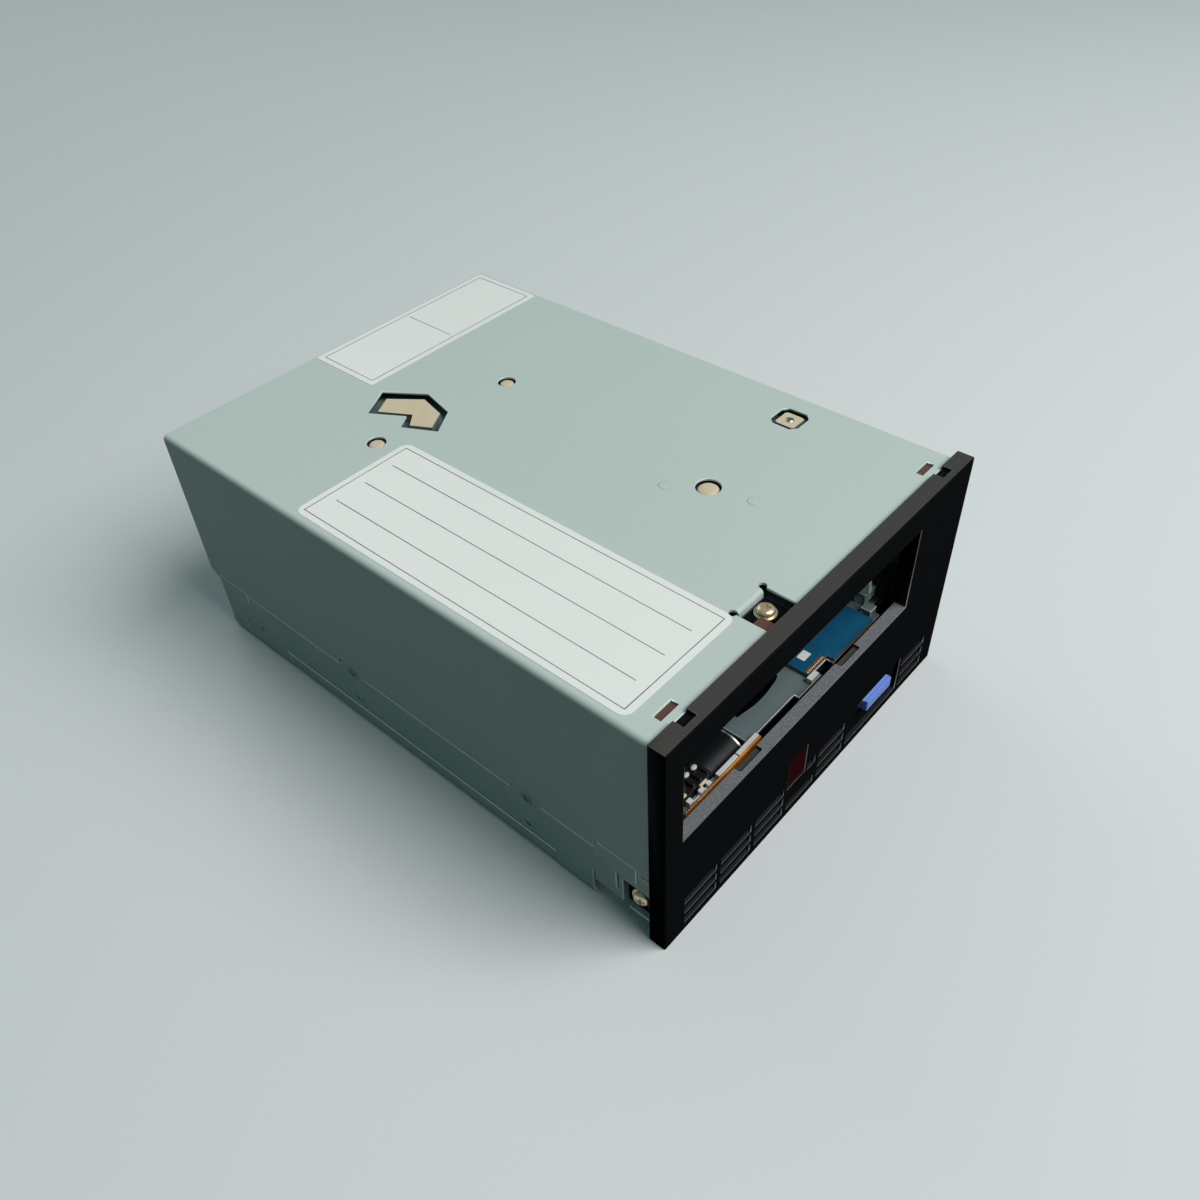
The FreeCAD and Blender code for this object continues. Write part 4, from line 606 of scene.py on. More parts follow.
    @classmethod
    def flat_regions(cls, shape: Shape) -> list[list[Face]]:
        """Groups joined faces that lie in one plane and share a material.

        Args:
            shape: The working shape.

        Returns:
            The groups.
        """
        seen: set[int] = set()
        regions = []
        shape.faces.index_update()
        for first in shape.faces:
            if first.index in seen:
                continue
            seen.add(first.index)
            region, queue = [], [first]
            while queue:
                face = queue.pop()
                region.append(face)
                for edge in face.edges:
                    for other in edge.link_faces:
                        if (other.index not in seen and other.material_index == first.material_index
                                and other.normal.dot(first.normal) > cls.PLANE):
                            seen.add(other.index)
                            queue.append(other)
            regions.append(region)
        return regions

    def retile(self, shape: Shape) -> None:
        """Fills each flat region afresh from its outline, so that no face folds over a hole.

        Args:
            shape: The working shape.
        """
        for region in self.flat_regions(shape):
            if len(region) == 1 and len(region[0].verts) < 5:
                continue
            inside = set(region)
            normal, material = region[0].normal.copy(), region[0].material_index
            area = sum(face.calc_area() for face in region)
            rim = [edge for face in region for edge in face.edges
                   if sum(other in inside for other in edge.link_faces) == 1]
            made = bmesh.ops.triangle_fill(shape, use_beauty=True, edges=rim, normal=normal)["geom"]
            tiles = [part for part in made if part.is_valid and isinstance(part, Face)]
            good = abs(sum(tile.calc_area() for tile in tiles) - area) < self.MISFIT * area
            old, kept = (region, set(tiles)) if good else (tiles, inside)
            spare = [face for face in old if face.is_valid and face not in kept]
            bmesh.ops.delete(shape, geom=spare, context="FACES_ONLY")
            for tile in tiles if good else ():
                tile.smooth, tile.material_index = True, material
                if tile.normal.dot(normal) < 0:
                    tile.normal_flip()
        loose = [edge for edge in shape.edges if not edge.link_faces]
        bmesh.ops.delete(shape, geom=loose, context="EDGES")

    @staticmethod
    def fans(vert: bmesh.types.BMVert) -> list[list[Face]]:
        """Groups the faces round a corner that smooth edges join.

        Args:
            vert: The corner.

        Returns:
            The groups.
        """
        groups = []
        left = list(vert.link_faces)
        while left:
            fan, queue = [], [left.pop()]
            while queue:
                face = queue.pop()
                fan.append(face)
                for edge in face.edges:
                    if vert in edge.verts and edge.smooth:
                        joined = [other for other in edge.link_faces if other in left]
                        left = [other for other in left if other not in joined]
                        queue.extend(joined)
            groups.append(fan)
        return groups

    def level(self, mesh: Mesh) -> None:
        """Retiles a mesh and lets its large flat faces rule the shading of the narrow ones beside them.

        Args:
            mesh: The mesh.
        """
        shape = melt(mesh)
        self.retile(shape)
        shape.normal_update()
        spans = {}
        for region in self.flat_regions(shape):
            span = sum(face.calc_area() for face in region) ** 1.5
            spans.update((face, span) for face in region)
        places = {}
        for face in shape.faces:
            for loop in face.loops:
                places[face, loop.vert] = len(places)
        normals = [Vector() for _ in places]
        for vert in shape.verts:
            for fan in self.fans(vert):
                total = Vector()
                for face in fan:
                    corner = next(loop for loop in face.loops if loop.vert == vert)
                    total += face.normal * spans[face] * corner.calc_angle()
                for face in fan:
                    normals[places[face, vert]] = total.normalized()
        pour(shape, mesh)
        mesh.normals_split_custom_set(normals)

    def ease(self, piece: Object, width: float, segments: int, edge_slot: int = -1) -> Object:
        """Rounds a piece's sharp edges and bakes the result.

        Args:
            piece: The piece to ease.
            width: Width of the rounding.
            segments: Faces across it.
            edge_slot: Material index of the rounded edges, or -1 for their own.

        Returns:
            The same piece.
        """
        self.mark_edges(piece.data, width)
        bevel = piece.modifiers.new("ease", "BEVEL")
        bevel.width = width
        bevel.segments = segments
        bevel.limit_method = "WEIGHT"
        bevel.material = edge_slot
        bevel.miter_outer = "MITER_ARC"
        bevel.use_clamp_overlap = False
        self.bake(piece)
        self.level(piece.data)
        return piece

    def refine(self, node: str, name: str, finish: Finish, width: float, segments: int = 2,
               edge: Finish | None = None) -> Object:
        """Makes an eased copy of a CAD node that stands for it.

        Args:
            node: The CAD node.
            name: Name of the piece.
            finish: Its finish.
            width: Width of the rounded edges.
            segments: Faces across each.
            edge: Finish of the rounded edges.

        Returns:
            The new piece.
        """
        shape = melt(self.frame["nodes"][node].data)
        bmesh.ops.remove_doubles(shape, verts=shape.verts, dist=self.WELD)
        bmesh.ops.dissolve_limit(shape, angle_limit=self.FLAT, verts=shape.verts, edges=shape.edges)
        piece = self.add(name, pour(shape, name), *([finish, edge] if edge else [finish]))
        self.ease(piece, width, segments, 1 if edge else -1)
        return self.hand_over(piece, finish, self.body_of[node], [node])

    @staticmethod
    def paint(piece: Object, finish: Finish, pick: Callable[[bpy.types.MeshPolygon], bool]) -> None:
        """Gives the faces that pick(face) chooses another finish.

        Args:
            piece: The piece.
            finish: The finish of the chosen faces.
            pick: Says whether a face is chosen.
        """
        number = len(piece.data.materials)
        piece.data.materials.append(finish.make())
        for face in piece.data.polygons:
            if pick(face):
                face.material_index = number

    def dress(self, node: str, finish: Finish) -> None:
        """Gives a CAD node that keeps its shape its material.

        Args:
            node: The CAD node.
            finish: Its finish.
        """
        mesh = self.frame["nodes"][node].data
        mesh.materials.clear()
        mesh.materials.append(finish.make())

    @staticmethod
    def slab(name: str, outline: Sequence[Pair], low: float, high: float) -> Mesh:
        """Makes an upright prism on an outline.

        Args:
            name: Name of the mesh.
            outline: Corners in X and Y, anticlockwise from above.
            low: Lower level.
            high: Upper level.

        Returns:
            The closed mesh.
        """
        shape = bmesh.new()
        face = shape.faces.new([shape.verts.new((x, y, low)) for x, y in outline])
        grown = bmesh.ops.extrude_face_region(shape, geom=[face])
        tops = [part for part in grown["geom"] if isinstance(part, bmesh.types.BMVert)]
        bmesh.ops.translate(shape, verts=tops, vec=(0, 0, high - low))
        bmesh.ops.recalc_face_normals(shape, faces=shape.faces)
        return pour(shape, name)

    @classmethod
    def lathe(cls, name: str, profile: Sequence[Pair], steps: int, place: Matrix = ORIGIN) -> Mesh:
        """Turns a closed profile about Z and puts it in place.

        Args:
            name: Name of the mesh.
            profile: Radius and height pairs, the first and last on the axis or alike.
            steps: Faces round.
            place: Where it goes.

        Returns:
            The closed mesh.
        """
        shape = bmesh.new()
        angles = [2 * math.pi * i / steps for i in range(steps)]
        rings = []
        for radius, height in profile:
            spots = [(radius * math.cos(angle), radius * math.sin(angle), height) for angle in angles]
            if radius <= cls.AXIS:
                spots = [(0, 0, height)]
            rings.append([shape.verts.new(spot) for spot in spots])
        for lower, upper in zip(rings, rings[1:]):
            for i in range(steps):
                j = (i + 1) % steps
                corners = [lower[i % len(lower)], lower[j % len(lower)],
                           upper[j % len(upper)], upper[i % len(upper)]]
                kept = list(dict.fromkeys(corners))
                if len(kept) > 2:
                    shape.faces.new(kept)
        bmesh.ops.remove_doubles(shape, verts=shape.verts, dist=cls.AXIS)
        bmesh.ops.recalc_face_normals(shape, faces=shape.faces)
        shape.transform(place)
        return pour(shape, name)

    @staticmethod
    def block(name: str, low: Sequence[float], high: Sequence[float]) -> Mesh:
        """Makes a box between two corners.

        Args:
            name: Name of the mesh.
            low: Left, front, lower corner.
            high: Right, rear, upper corner.

        Returns:
            The closed mesh.
        """
        shape = bmesh.new()
        bmesh.ops.create_cube(shape, size=1.0)
        for vert in shape.verts:
            vert.co = Vector([a + (b - a) * (c + 0.5) for a, b, c in zip(low, high, vert.co)])
        return pour(shape, name)

    def tile(self, name: str, size: Point) -> Mesh:
        """Makes a box that stands on the origin, for pieces that are repeated afterwards.

        Args:
            name: Name of the mesh.
            size: Its width, length and height.

        Returns:
            The closed mesh.
        """
        wide, long, high = size
        return self.block(name, (-wide / 2, -long / 2, 0), (wide / 2, long / 2, high))


@dataclass(frozen=True)
class Spot:
    """Where a copy of a shape goes.

    Args:
        at: Its position.
        turn: Its turn about X, Y and Z, in radians.
        size: Its size along X, Y and Z.
    """

    at: Sequence[float]
    turn: Point = (0.0, 0.0, 0.0)
    size: Point = (1.0, 1.0, 1.0)


class Repeater:
    """Builds the two node trees that repeat shapes, and runs them on pieces."""

    def __init__(self, bench: Bench) -> None:
        """Keeps the bench on which pieces are made."""
        self.bench = bench

    @staticmethod
    def open_tree(name: str, inputs: Mapping[str, str]) -> tuple[Tree, bpy.types.Node]:
        """Starts a geometry tree with named inputs.

        Args:
            name: Name of the tree.
            inputs: Kind of socket for the name of each input after the geometry.

        Returns:
            The tree and the node that gives its inputs.
        """
        group = bpy.data.node_groups.new(name, "GeometryNodeTree")
        group.interface.new_socket("Geometry", in_out="OUTPUT", socket_type="NodeSocketGeometry")
        for label, kind in {"Geometry": "Geometry", **inputs}.items():
            group.interface.new_socket(label, in_out="INPUT", socket_type="NodeSocket" + kind)
        tree = Tree(group)
        return tree, tree.add("NodeGroupInput")

    @staticmethod
    def close_tree(tree: Tree, copies: Socket, finish: Finish) -> bpy.types.NodeTree:
        """Ends a tree in Realize Instances and Set Material.

        Args:
            tree: The tree.
            copies: Socket with the instances.
            finish: Finish of the copies.

        Returns:
            The whole node tree.
        """
        solid = tree.add("GeometryNodeRealizeInstances", {"Geometry": copies})
        paint = tree.add("GeometryNodeSetMaterial", {
            "Geometry": solid.outputs["Geometry"], "Material": finish.make()})
        tree.add("NodeGroupOutput", {"Geometry": paint.outputs["Geometry"]})
        return tree.group

    def grid_tree(self, finish: Finish) -> bpy.types.NodeTree:
        """Builds the tree that copies a shape over a grid with named counts and pitches.

        Args:
            finish: Finish of the copies.

        Returns:
            The node tree.
        """
        tree, start = self.open_tree("grid_of_" + finish.label, {
            "Columns": "Int", "Rows": "Int", "Pitch across": "Float", "Pitch along": "Float",
            "Centre": "Vector"})
        sizes = {}
        for count, pitch, size, verts in (("Columns", "Pitch across", "Size X", "Vertices X"),
                                          ("Rows", "Pitch along", "Size Y", "Vertices Y")):
            gaps = tree.add("ShaderNodeMath", {0: start.outputs[count], 1: 1.0}, operation="SUBTRACT")
            span = tree.add("ShaderNodeMath", {0: gaps.outputs[0], 1: start.outputs[pitch]},
                            operation="MULTIPLY")
            sizes[size] = span.outputs[0]
            sizes[verts] = start.outputs[count]
        grid = tree.add("GeometryNodeMeshGrid", sizes)
        put = tree.add("GeometryNodeTransform", {
            "Geometry": grid.outputs["Mesh"], "Translation": start.outputs["Centre"]})
        copies = tree.add("GeometryNodeInstanceOnPoints", {
            "Points": put.outputs["Geometry"], "Instance": start.outputs["Geometry"]})
        return self.close_tree(tree, copies.outputs["Instances"], finish)

    def scatter_tree(self, finish: Finish) -> bpy.types.NodeTree:
        """Builds the tree that puts a shape on each point, turned and sized by the point's own values.

        Args:
            finish: Finish of the copies.

        Returns:
            The node tree.
        """
        tree, start = self.open_tree("placed_" + finish.label, {"Shape": "Object"})
        shape = tree.add("GeometryNodeObjectInfo", {"Object": start.outputs["Shape"]})
        turn, size = (tree.add("GeometryNodeInputNamedAttribute", {"Name": key}, data_type="FLOAT_VECTOR")
                      for key in ("turn", "size"))
        rotation = tree.add("FunctionNodeEulerToRotation", {"Euler": turn.outputs["Attribute"]})
        copies = tree.add("GeometryNodeInstanceOnPoints", {
            "Points": start.outputs["Geometry"], "Instance": shape.outputs["Geometry"],
            "Rotation": rotation.outputs["Rotation"], "Scale": size.outputs["Attribute"]})
        return self.close_tree(tree, copies.outputs["Instances"], finish)

    def run(self, piece: Object, tree: bpy.types.NodeTree, values: Mapping[str, Value]) -> Object:
        """Runs a node tree on a piece, with its inputs set by their sockets' identifiers, and bakes it.

        Args:
            piece: The piece.
            tree: The node tree.
            values: What the named inputs get.

        Returns:
            The same piece.
        """
        modifier = piece.modifiers.new("repeat", "NODES")
        modifier.node_group = tree
        for item in tree.interface.items_tree:
            if item.item_type == "SOCKET" and item.in_out == "INPUT" and item.name in values:
                modifier[item.identifier] = values[item.name]
        return self.bench.bake(piece)

    def grid(self, name: str, mesh: Mesh, finish: Finish, columns: int, pitch: float,
             centre: Point, rows: int = 1, row_pitch: float = 0.001) -> Object:
        """Copies a mesh made round the origin over a grid.

        Args:
            name: Name of the piece.
            mesh: The shape to repeat.
            finish: Its finish.
            columns: Copies across.
            pitch: Pitch across.
            centre: Middle of the grid.
            rows: Copies along.
            row_pitch: Pitch along.

        Returns:
            The baked piece.
        """
        piece = self.bench.add(name, mesh, finish)
        self.run(piece, self.grid_tree(finish), {
            "Columns": columns, "Rows": rows, "Pitch across": pitch, "Pitch along": row_pitch,
            "Centre": centre})
        return self.bench.hand_over(piece, finish)

    def place(self, name: str, mesh: Mesh, finish: Finish, spots: Sequence[Spot],
              stands_for: Sequence[str] = ()) -> Object:
        """Puts a mesh made round the origin at each spot.

        Args:
            name: Name of the piece.
            mesh: The shape to repeat.
            finish: Its finish.
            spots: Where the copies go.
            stands_for: CAD nodes that it replaces.

        Returns:
            The baked piece.
        """
        shape = self.bench.add(name + "_shape", mesh, finish)
        points = bpy.data.meshes.new(name)
        points.from_pydata([tuple(spot.at) for spot in spots], [], [])
        for key in ("turn", "size"):
            values = points.attributes.new(key, "FLOAT_VECTOR", "POINT")
            values.data.foreach_set("vector", [number for spot in spots for number in getattr(spot, key)])
        piece = link(bpy.data.objects.new(name, points))
        self.run(piece, self.scatter_tree(finish), {"Shape": shape})
        bpy.data.objects.remove(shape)
        return self.bench.hand_over(piece, finish, stands_for=stands_for)


# Sub-assemblies


@dataclass
class SubAssembly:
    """Pieces that are made together.

    Args:
        bench: Where pieces are made.
        repeat: Where shapes are repeated.
    """

    bench: Bench
    repeat: Repeater

    @property
    def front(self) -> float:
        """Level along Y of the cover's front edge, from which places are measured."""
        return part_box("top_cover")[0].y


@dataclass
class Enclosure(SubAssembly):
    """Folded cover, pan and rear panel, with the blank labels and the pads that show through the cover."""

    cover_edge: float = 0.00018
    pan_edge: float = 0.00026
    sheet_edge: float = 0.00012
    label_sheet: float = 0.00012
    label_edge: float = 0.00003
    front_label: Area = (-0.0702, 0.0095, -0.0258, 0.1382)
    front_corner: float = 0.003
    rear_label: Area = (-0.0103, 0.1743, 0.0710, 0.2046)
    rear_corner: float = 0.0008
    front_lines: tuple[float, ...] = (0.25, 0.5, 0.75)
    front_margin: float = 0.006
    rear_lines: tuple[float, ...] = (0.5,)
    rear_margin: float = 0.004
    rule_width: float = 0.00028
    rule_inset: float = 0.0022
    ink_sheet: float = 0.00003
    weld_marks: tuple[Pair, ...] = ((0.0074, 0.0600), (0.0174, 0.0348))
    weld_disc: tuple[Pair, ...] = ((0, 0), (0.0019, 0), (0.0017, 0.00003), (0, 0.00003))
    arrow_pad: tuple[Pair, ...] = (
        (-0.01210, 0.16440), (-0.01910, 0.16070), (-0.01320, 0.15000), (-0.01795, 0.14600),
        (-0.01440, 0.13920), (-0.00710, 0.14320), (-0.00440, 0.15380))
    square_pad: Area = (0.0563, 0.0471, 0.0633, 0.0541)
    square_corner: float = 0.0012
    pad_skin: float = 0.00015
    pad_edge: float = 0.00008
    pad_rise: float = 0.0034
    thread_along: Pair = (-0.039625, 0.039625)
    thread_up: Pair = (0.00992, 0.02184)
    seam_level: float = 0.0235
    seam_runs: tuple[Pair, ...] = ((-0.0664, -0.0464), (-0.0337, 0.0328), (0.0456, 0.0971))
    seam_lip: float = 0.55
    step_level: float = 0.0065
    step_run: Pair = (-0.0505, 0.0799)
    lip_wide: float = 0.00013
    lip_high: float = 0.00026

    def __post_init__(self) -> None:
        """Reads the levels that the frame fixes."""
        self.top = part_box("top_cover")[1].z
        self.pad_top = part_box("roof_plate")[1].z

    def shifted(self, points: Sequence[Pair]) -> list[Pair]:
        """Outline measured from the cover's front edge, in the frame."""
        return [(x, y + self.front) for x, y in points]

    def build(self) -> None:
        """Makes every piece of the enclosure."""
        bench = self.bench
        bench.refine("top_cover", "cover_shell", COVER, self.cover_edge, 2, COVER_EDGE)
        bench.refine("bottom_tray", "pan_shell", TRAY, self.pan_edge, 2, TRAY_EDGE)
        bench.refine("rear_panel", "rear_wall", TRAY, self.sheet_edge, 1, TRAY_EDGE)
        bench.refine("roof_plate", "roof_sheet", PLATE, self.sheet_edge, 1)
        self.labels()
        self.weld_discs()
        self.pads()
        self.rivets()
        self.thread_rims()
        self.step_lips()

    def labels(self) -> None:
        """Makes two blank labels with a printed frame of plain rules."""
        for name, area, corner in (("label_front", self.front_label, self.front_corner),
                                   ("label_rear", self.rear_label, self.rear_corner)):
            outline = self.shifted(rounded(*area, corner))
            mesh = self.bench.slab(name, outline, self.top, self.top + self.label_sheet)
            self.bench.put(name, mesh, PAPER, self.label_edge)
        rule = self.bench.tile("rule", (1.0, 1.0, 1.0))
        self.repeat.place("label_rules", rule, INK, self.rule_spots())

    def rule(self, x0: float, y0: float, x1: float, y1: float) -> Spot:
        """Places one rule between two corners.

        Args:
            x0: Left.
            y0: Front.
            x1: Right.
            y1: Rear.

        Returns:
            The rule's spot.
        """
        middle = ((x0 + x1) / 2, (y0 + y1) / 2 + self.front, self.top + self.label_sheet)
        spread = (max(self.rule_width, x1 - x0), max(self.rule_width, y1 - y0), self.ink_sheet)
        return Spot(middle, size=spread)

    def rule_spots(self) -> list[Spot]:
        """Places a frame and a few lines on each label.

        Returns:
            The rules' spots.
        """
        spots = []
        for x0, y0, x1, y1 in (self.front_label, self.rear_label):
            inset = self.rule_inset
            x0, y0, x1, y1 = x0 + inset, y0 + inset, x1 - inset, y1 - inset
            spots.extend((self.rule(x0, y0, x1, y0), self.rule(x0, y1, x1, y1),
                          self.rule(x0, y0, x0, y1), self.rule(x1, y0, x1, y1)))
        for (x0, y0, x1, y1), shares, margin in ((self.front_label, self.front_lines, self.front_margin),
                                                 (self.rear_label, self.rear_lines, self.rear_margin)):
            for share in shares:
                x = x0 + (x1 - x0) * share
                spots.append(self.rule(x, y0 + margin, x, y1 - margin))
        return spots

    def weld_discs(self) -> None:
        """Makes the faint round marks of spot welds on the cover."""
        disc = self.bench.lathe("mark", self.weld_disc, 24)
        spots = [Spot((x, y + self.front, self.top)) for x, y in self.weld_marks]
        self.repeat.place("weld_marks", disc, COVER, spots)

    def pads(self) -> None:
        """Makes the pale pads that show through the cover's openings, and the stud on the square one."""
        low, high = self.pad_top, self.pad_top + self.pad_skin
        for name, outline in (("pad_arrow", self.arrow_pad),
                              ("pad_square", rounded(*self.square_pad, self.square_corner))):
            skin = self.bench.slab(name, self.shifted(outline), low, high)
            self.bench.put(name, skin, PAD, self.pad_edge, 2)
        left, near, right, far = self.square_pad
        middle = ((left + right) / 2, (near + far) / 2 + self.front, high)
        dome = [(0, 0), (0.0015, 0), (0.0014, 0.0002), (0.0008, 0.0004), (0, 0.00045)]
        stud = self.bench.lathe("pad_stud", dome, 32, Matrix.Translation(middle))
        self.bench.put("pad_stud", stud, TIN)

    def rivets(self) -> None:
        """Makes the domed rivet heads of the roof plate."""
        dome = [(0, 0), (0.96, 0), (1.0, 0.12), (1.0, 0.66), (0.95, 0.84), (0.82, 0.95), (0.5, 1.0), (0, 1.0)]
        nodes = [f"roof_rivet_{number}" for number in (1, 2, 3)]
        base = self.pad_top - self.pad_rise
        spots = []
        for low, high in map(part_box, nodes):
            centre = (low + high) / 2
            radius = (high.x - low.x) / 2
            spots.append(Spot((centre.x, centre.y, base), size=(radius, radius, high.z - base)))
        self.repeat.place("roof_rivets", self.bench.lathe("rivet", dome, 40), PAD, spots, nodes)

    def thread_rims(self) -> None:
        """Makes the dished rims of the threaded holes in the pan's sides."""
        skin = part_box("bottom_tray")[1].x
        dish = [(0.00125, -0.0008), (0.00195, 0.00005), (0.00206, 0.00002), (0.0021, -0.0002),
                (0.00125, -0.0008)]
        spots = [Spot((side * skin, y, z), (0, side * QUARTER, 0)) for side in (-1, 1)
                 for y in self.thread_along for z in self.thread_up]
        self.repeat.place("thread_rims", self.bench.lathe("rim", dish, 40), TRAY, spots)

    def step_lips(self) -> None:
        """Makes the sheared lips along the cover's lower edges and along the step in the pan's sides."""
        mesh = bpy.data.meshes.new("lip")
        ring = ((0.0, 0.0), (self.lip_wide, 0.0), (0.0, self.lip_high))
        mesh.from_pydata([(x, y, z) for y in (-0.5, 0.5) for x, z in ring], [],
                         [(0, 1, 2), (5, 4, 3), (0, 3, 4, 1), (1, 4, 5, 2), (2, 5, 3, 0)])
        cover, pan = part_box("top_cover")[1].x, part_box("bottom_tray")[1].x
        runs = [(cover, self.seam_level, self.seam_lip, run) for run in self.seam_runs]
        runs.append((pan, self.step_level, 1.0, self.step_run))
        spots = [Spot((side * x, (y0 + y1) / 2, z), (0, 0, 0 if side > 0 else math.pi), (size, y1 - y0, size))
                 for side in (-1, 1) for x, z, size, (y0, y1) in runs]
        piece = self.repeat.place("step_lips", mesh, TRAY_EDGE, spots)
        piece.data.polygons.foreach_set("use_smooth", [False] * len(piece.data.polygons))


@dataclass
class Front(SubAssembly):
    """Bezel with its window and button, the gaskets behind it and the three plated screws."""

    moulding_edge: float = 0.00022
    window_edge: float = 0.00018
    button_edge: float = 0.0004
    board_edge: float = 0.0001
    gasket_edge: float = 0.00027
    washer_radius: float = 0.0032
    washer_sheet: float = 0.0006
    head_radius: float = 0.0026
    head_height: float = 0.0017
    shank_radius: float = 0.0014
    shank_length: float = 0.0012
    recess: float = 0.0009
    recess_top: Pair = (0.62, 0.00042)
    recess_floor: Pair = (0.34, 0.00026)
    ledge_level: float = 0.0434
    slot_depths: Pair = (0.0004, 0.002)
    top_band: float = 0.001
    louvre_drop: float = 0.004
    wall: float = 0.0021
    facing_up: float = 0.95
    leaning_up: float = 0.7
    top_turn: float = 0.5
    side_turn: float = 0.3

    def build(self) -> None:
        """Makes every piece of the front."""
        bench = self.bench
        # The bezel's rounded edges take the painted highlight.
        bezel = bench.refine("front_bezel", "bezel_moulding", BEZEL, self.moulding_edge, 2, BEZEL_EDGE_PAINTED_HIGHLIGHT)
        self.paint_light_on_upper_faces(bezel)
        # The window's rounded edges take the painted highlight.
        bench.refine("display_window", "display_pane", WINDOW, self.window_edge, 3, WINDOW_EDGE_PAINTED_HIGHLIGHT)
        bench.refine("eject_button", "eject_bar", BUTTON, self.button_edge, 3)
        bench.refine("panel_board", "panel_circuit", SHADED_BOARD, self.board_edge, 1)
        bench.refine("eject_switch", "eject_switch_case", SWITCH, self.board_edge, 1)
        self.gaskets()
        self.screws()

    def paint_light_on_upper_faces(self, bezel: Object) -> None:
        """Paints light on the faces that look up: the top, the ledge, its slots and the louvres get lighter
        colours than the black moulding as painted light, and the ledge and top a coarser speckle.

        Args:
            bezel: The bezel.
        """
        low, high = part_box("front_bezel")
        ledge = self.ledge_level
        shallow, deep = self.slot_depths

        def on_ledge(face: bpy.types.MeshPolygon) -> bool:
            """Whether a face belongs to the ledge itself."""
            return face.normal.z > self.facing_up and abs(face.center.z - ledge) < 0.0003

        def on_top(face: bpy.types.MeshPolygon) -> bool:
            """Whether a face belongs to the top or to the floor of a slot in the ledge."""
            level = face.center.z
            slot = ledge - deep < level < ledge - shallow
            return face.normal.z > self.facing_up and (level > high.z - self.top_band or slot)

        def on_louvre(face: bpy.types.MeshPolygon) -> bool:
            """Whether a face is the lower side of a louvre or a recess in the front wall."""
            return (face.normal.z > self.leaning_up and face.center.z < ledge - self.louvre_drop
                    and face.center.y < low.y + self.wall)

        # Painted light: the upward faces of the ledge, the top, the slot floors and the louvres are lighter
        # than the black moulding.
        for finish, pick in ((LEDGE_SPECKLE_AND_PAINTED_LIGHT, on_ledge), (BEZEL_TOP_PAINTED_LIGHT, on_top), (LOUVRE_PAINTED_LIGHT, on_louvre)):
            self.bench.paint(bezel, finish, pick)

    def gaskets(self) -> None:
        """Makes the conductive cloth strips over foam, crowned along their length."""
        for node in ("emi_gasket_left", "emi_gasket_right", "foot_gasket_left", "foot_gasket_right"):
            mesh = self.bench.block(node, *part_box(node))
            strip = self.bench.put(node + "_strip", mesh, GASKET, self.gasket_edge, 4, stands_for=[node])

    def cross_tool(self, turn: float) -> Mesh:
        """Makes one arm of the tool that cuts the cross recess.

        Args:
            turn: Its turn about the screw, in degrees.

        Returns:
            The tapered arm.
        """
        crown = self.washer_sheet + self.head_height
        shape = bmesh.new()
        bmesh.ops.create_cube(shape, size=1.0)
        for vert in shape.verts:
            upper = vert.co.z > 0
            share, wide = self.recess_top if upper else self.recess_floor
            vert.co = Vector((math.copysign(self.head_radius * share, vert.co.x),
                              math.copysign(wide, vert.co.y),
                              crown + 0.0003 if upper else crown - self.recess))
        bmesh.ops.rotate(shape, verts=shape.verts, matrix=Matrix.Rotation(math.radians(turn), 3, "Z"))
        return pour(shape, "recess")

    def screw(self) -> Mesh:
        """Makes a pan-head screw on its washer, standing on the origin, with a cross recess.

        Returns:
            The screw's mesh.
        """
        r, t, w = self.head_radius, self.head_height, self.washer_sheet
        rim, shank = self.washer_radius, self.shank_radius
        profile = [(0, -self.shank_length), (shank, -self.shank_length), (shank, 0), (rim * 0.97, 0),
                   (rim, w * 0.2), (rim, w * 0.75), (rim * 0.95, w),
                   (r * 1.02, w), (r * 1.02, w + t * 0.2), (r * 0.98, w + t * 0.5), (r * 0.88, w + t * 0.75),
                   (r * 0.7, w + t * 0.91), (r * 0.45, w + t * 0.98), (0, w + t)]
        head = self.bench.add("screw_head", self.bench.lathe("screw_head", profile, 48), GOLD)
        for turn in (0, 90):
            tool = self.bench.add("recess", self.cross_tool(turn), GOLD, smooth=False)
            cut = head.modifiers.new("recess", "BOOLEAN")
            cut.object = tool
            cut.operation = "DIFFERENCE"
            self.bench.bake(head)
            bpy.data.objects.remove(tool)
        mesh = head.data.copy()
        bpy.data.objects.remove(head)
        mesh.set_sharp_from_angle(angle=CREASE)
        return mesh

    def screws(self) -> None:
        """Puts one screw in the top recess and one in each side opening."""
        full = self.washer_sheet + self.head_height
        low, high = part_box("top_screw")
        centre = (low + high) / 2
        spots = [Spot((centre.x, centre.y, high.z - full), (0, 0, self.top_turn))]
        for node, side in (("side_screw_left", -1), ("side_screw_right", 1)):
            low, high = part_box(node)
            centre = (low + high) / 2
            outer = low.x if side < 0 else high.x
            turn = (0, side * QUARTER, self.side_turn)
            spots.append(Spot((outer - side * full, centre.y, centre.z), turn))
        self.repeat.place("fixing_screws", self.screw(), GOLD, spots,
                          ["top_screw", "side_screw_left", "side_screw_right"])


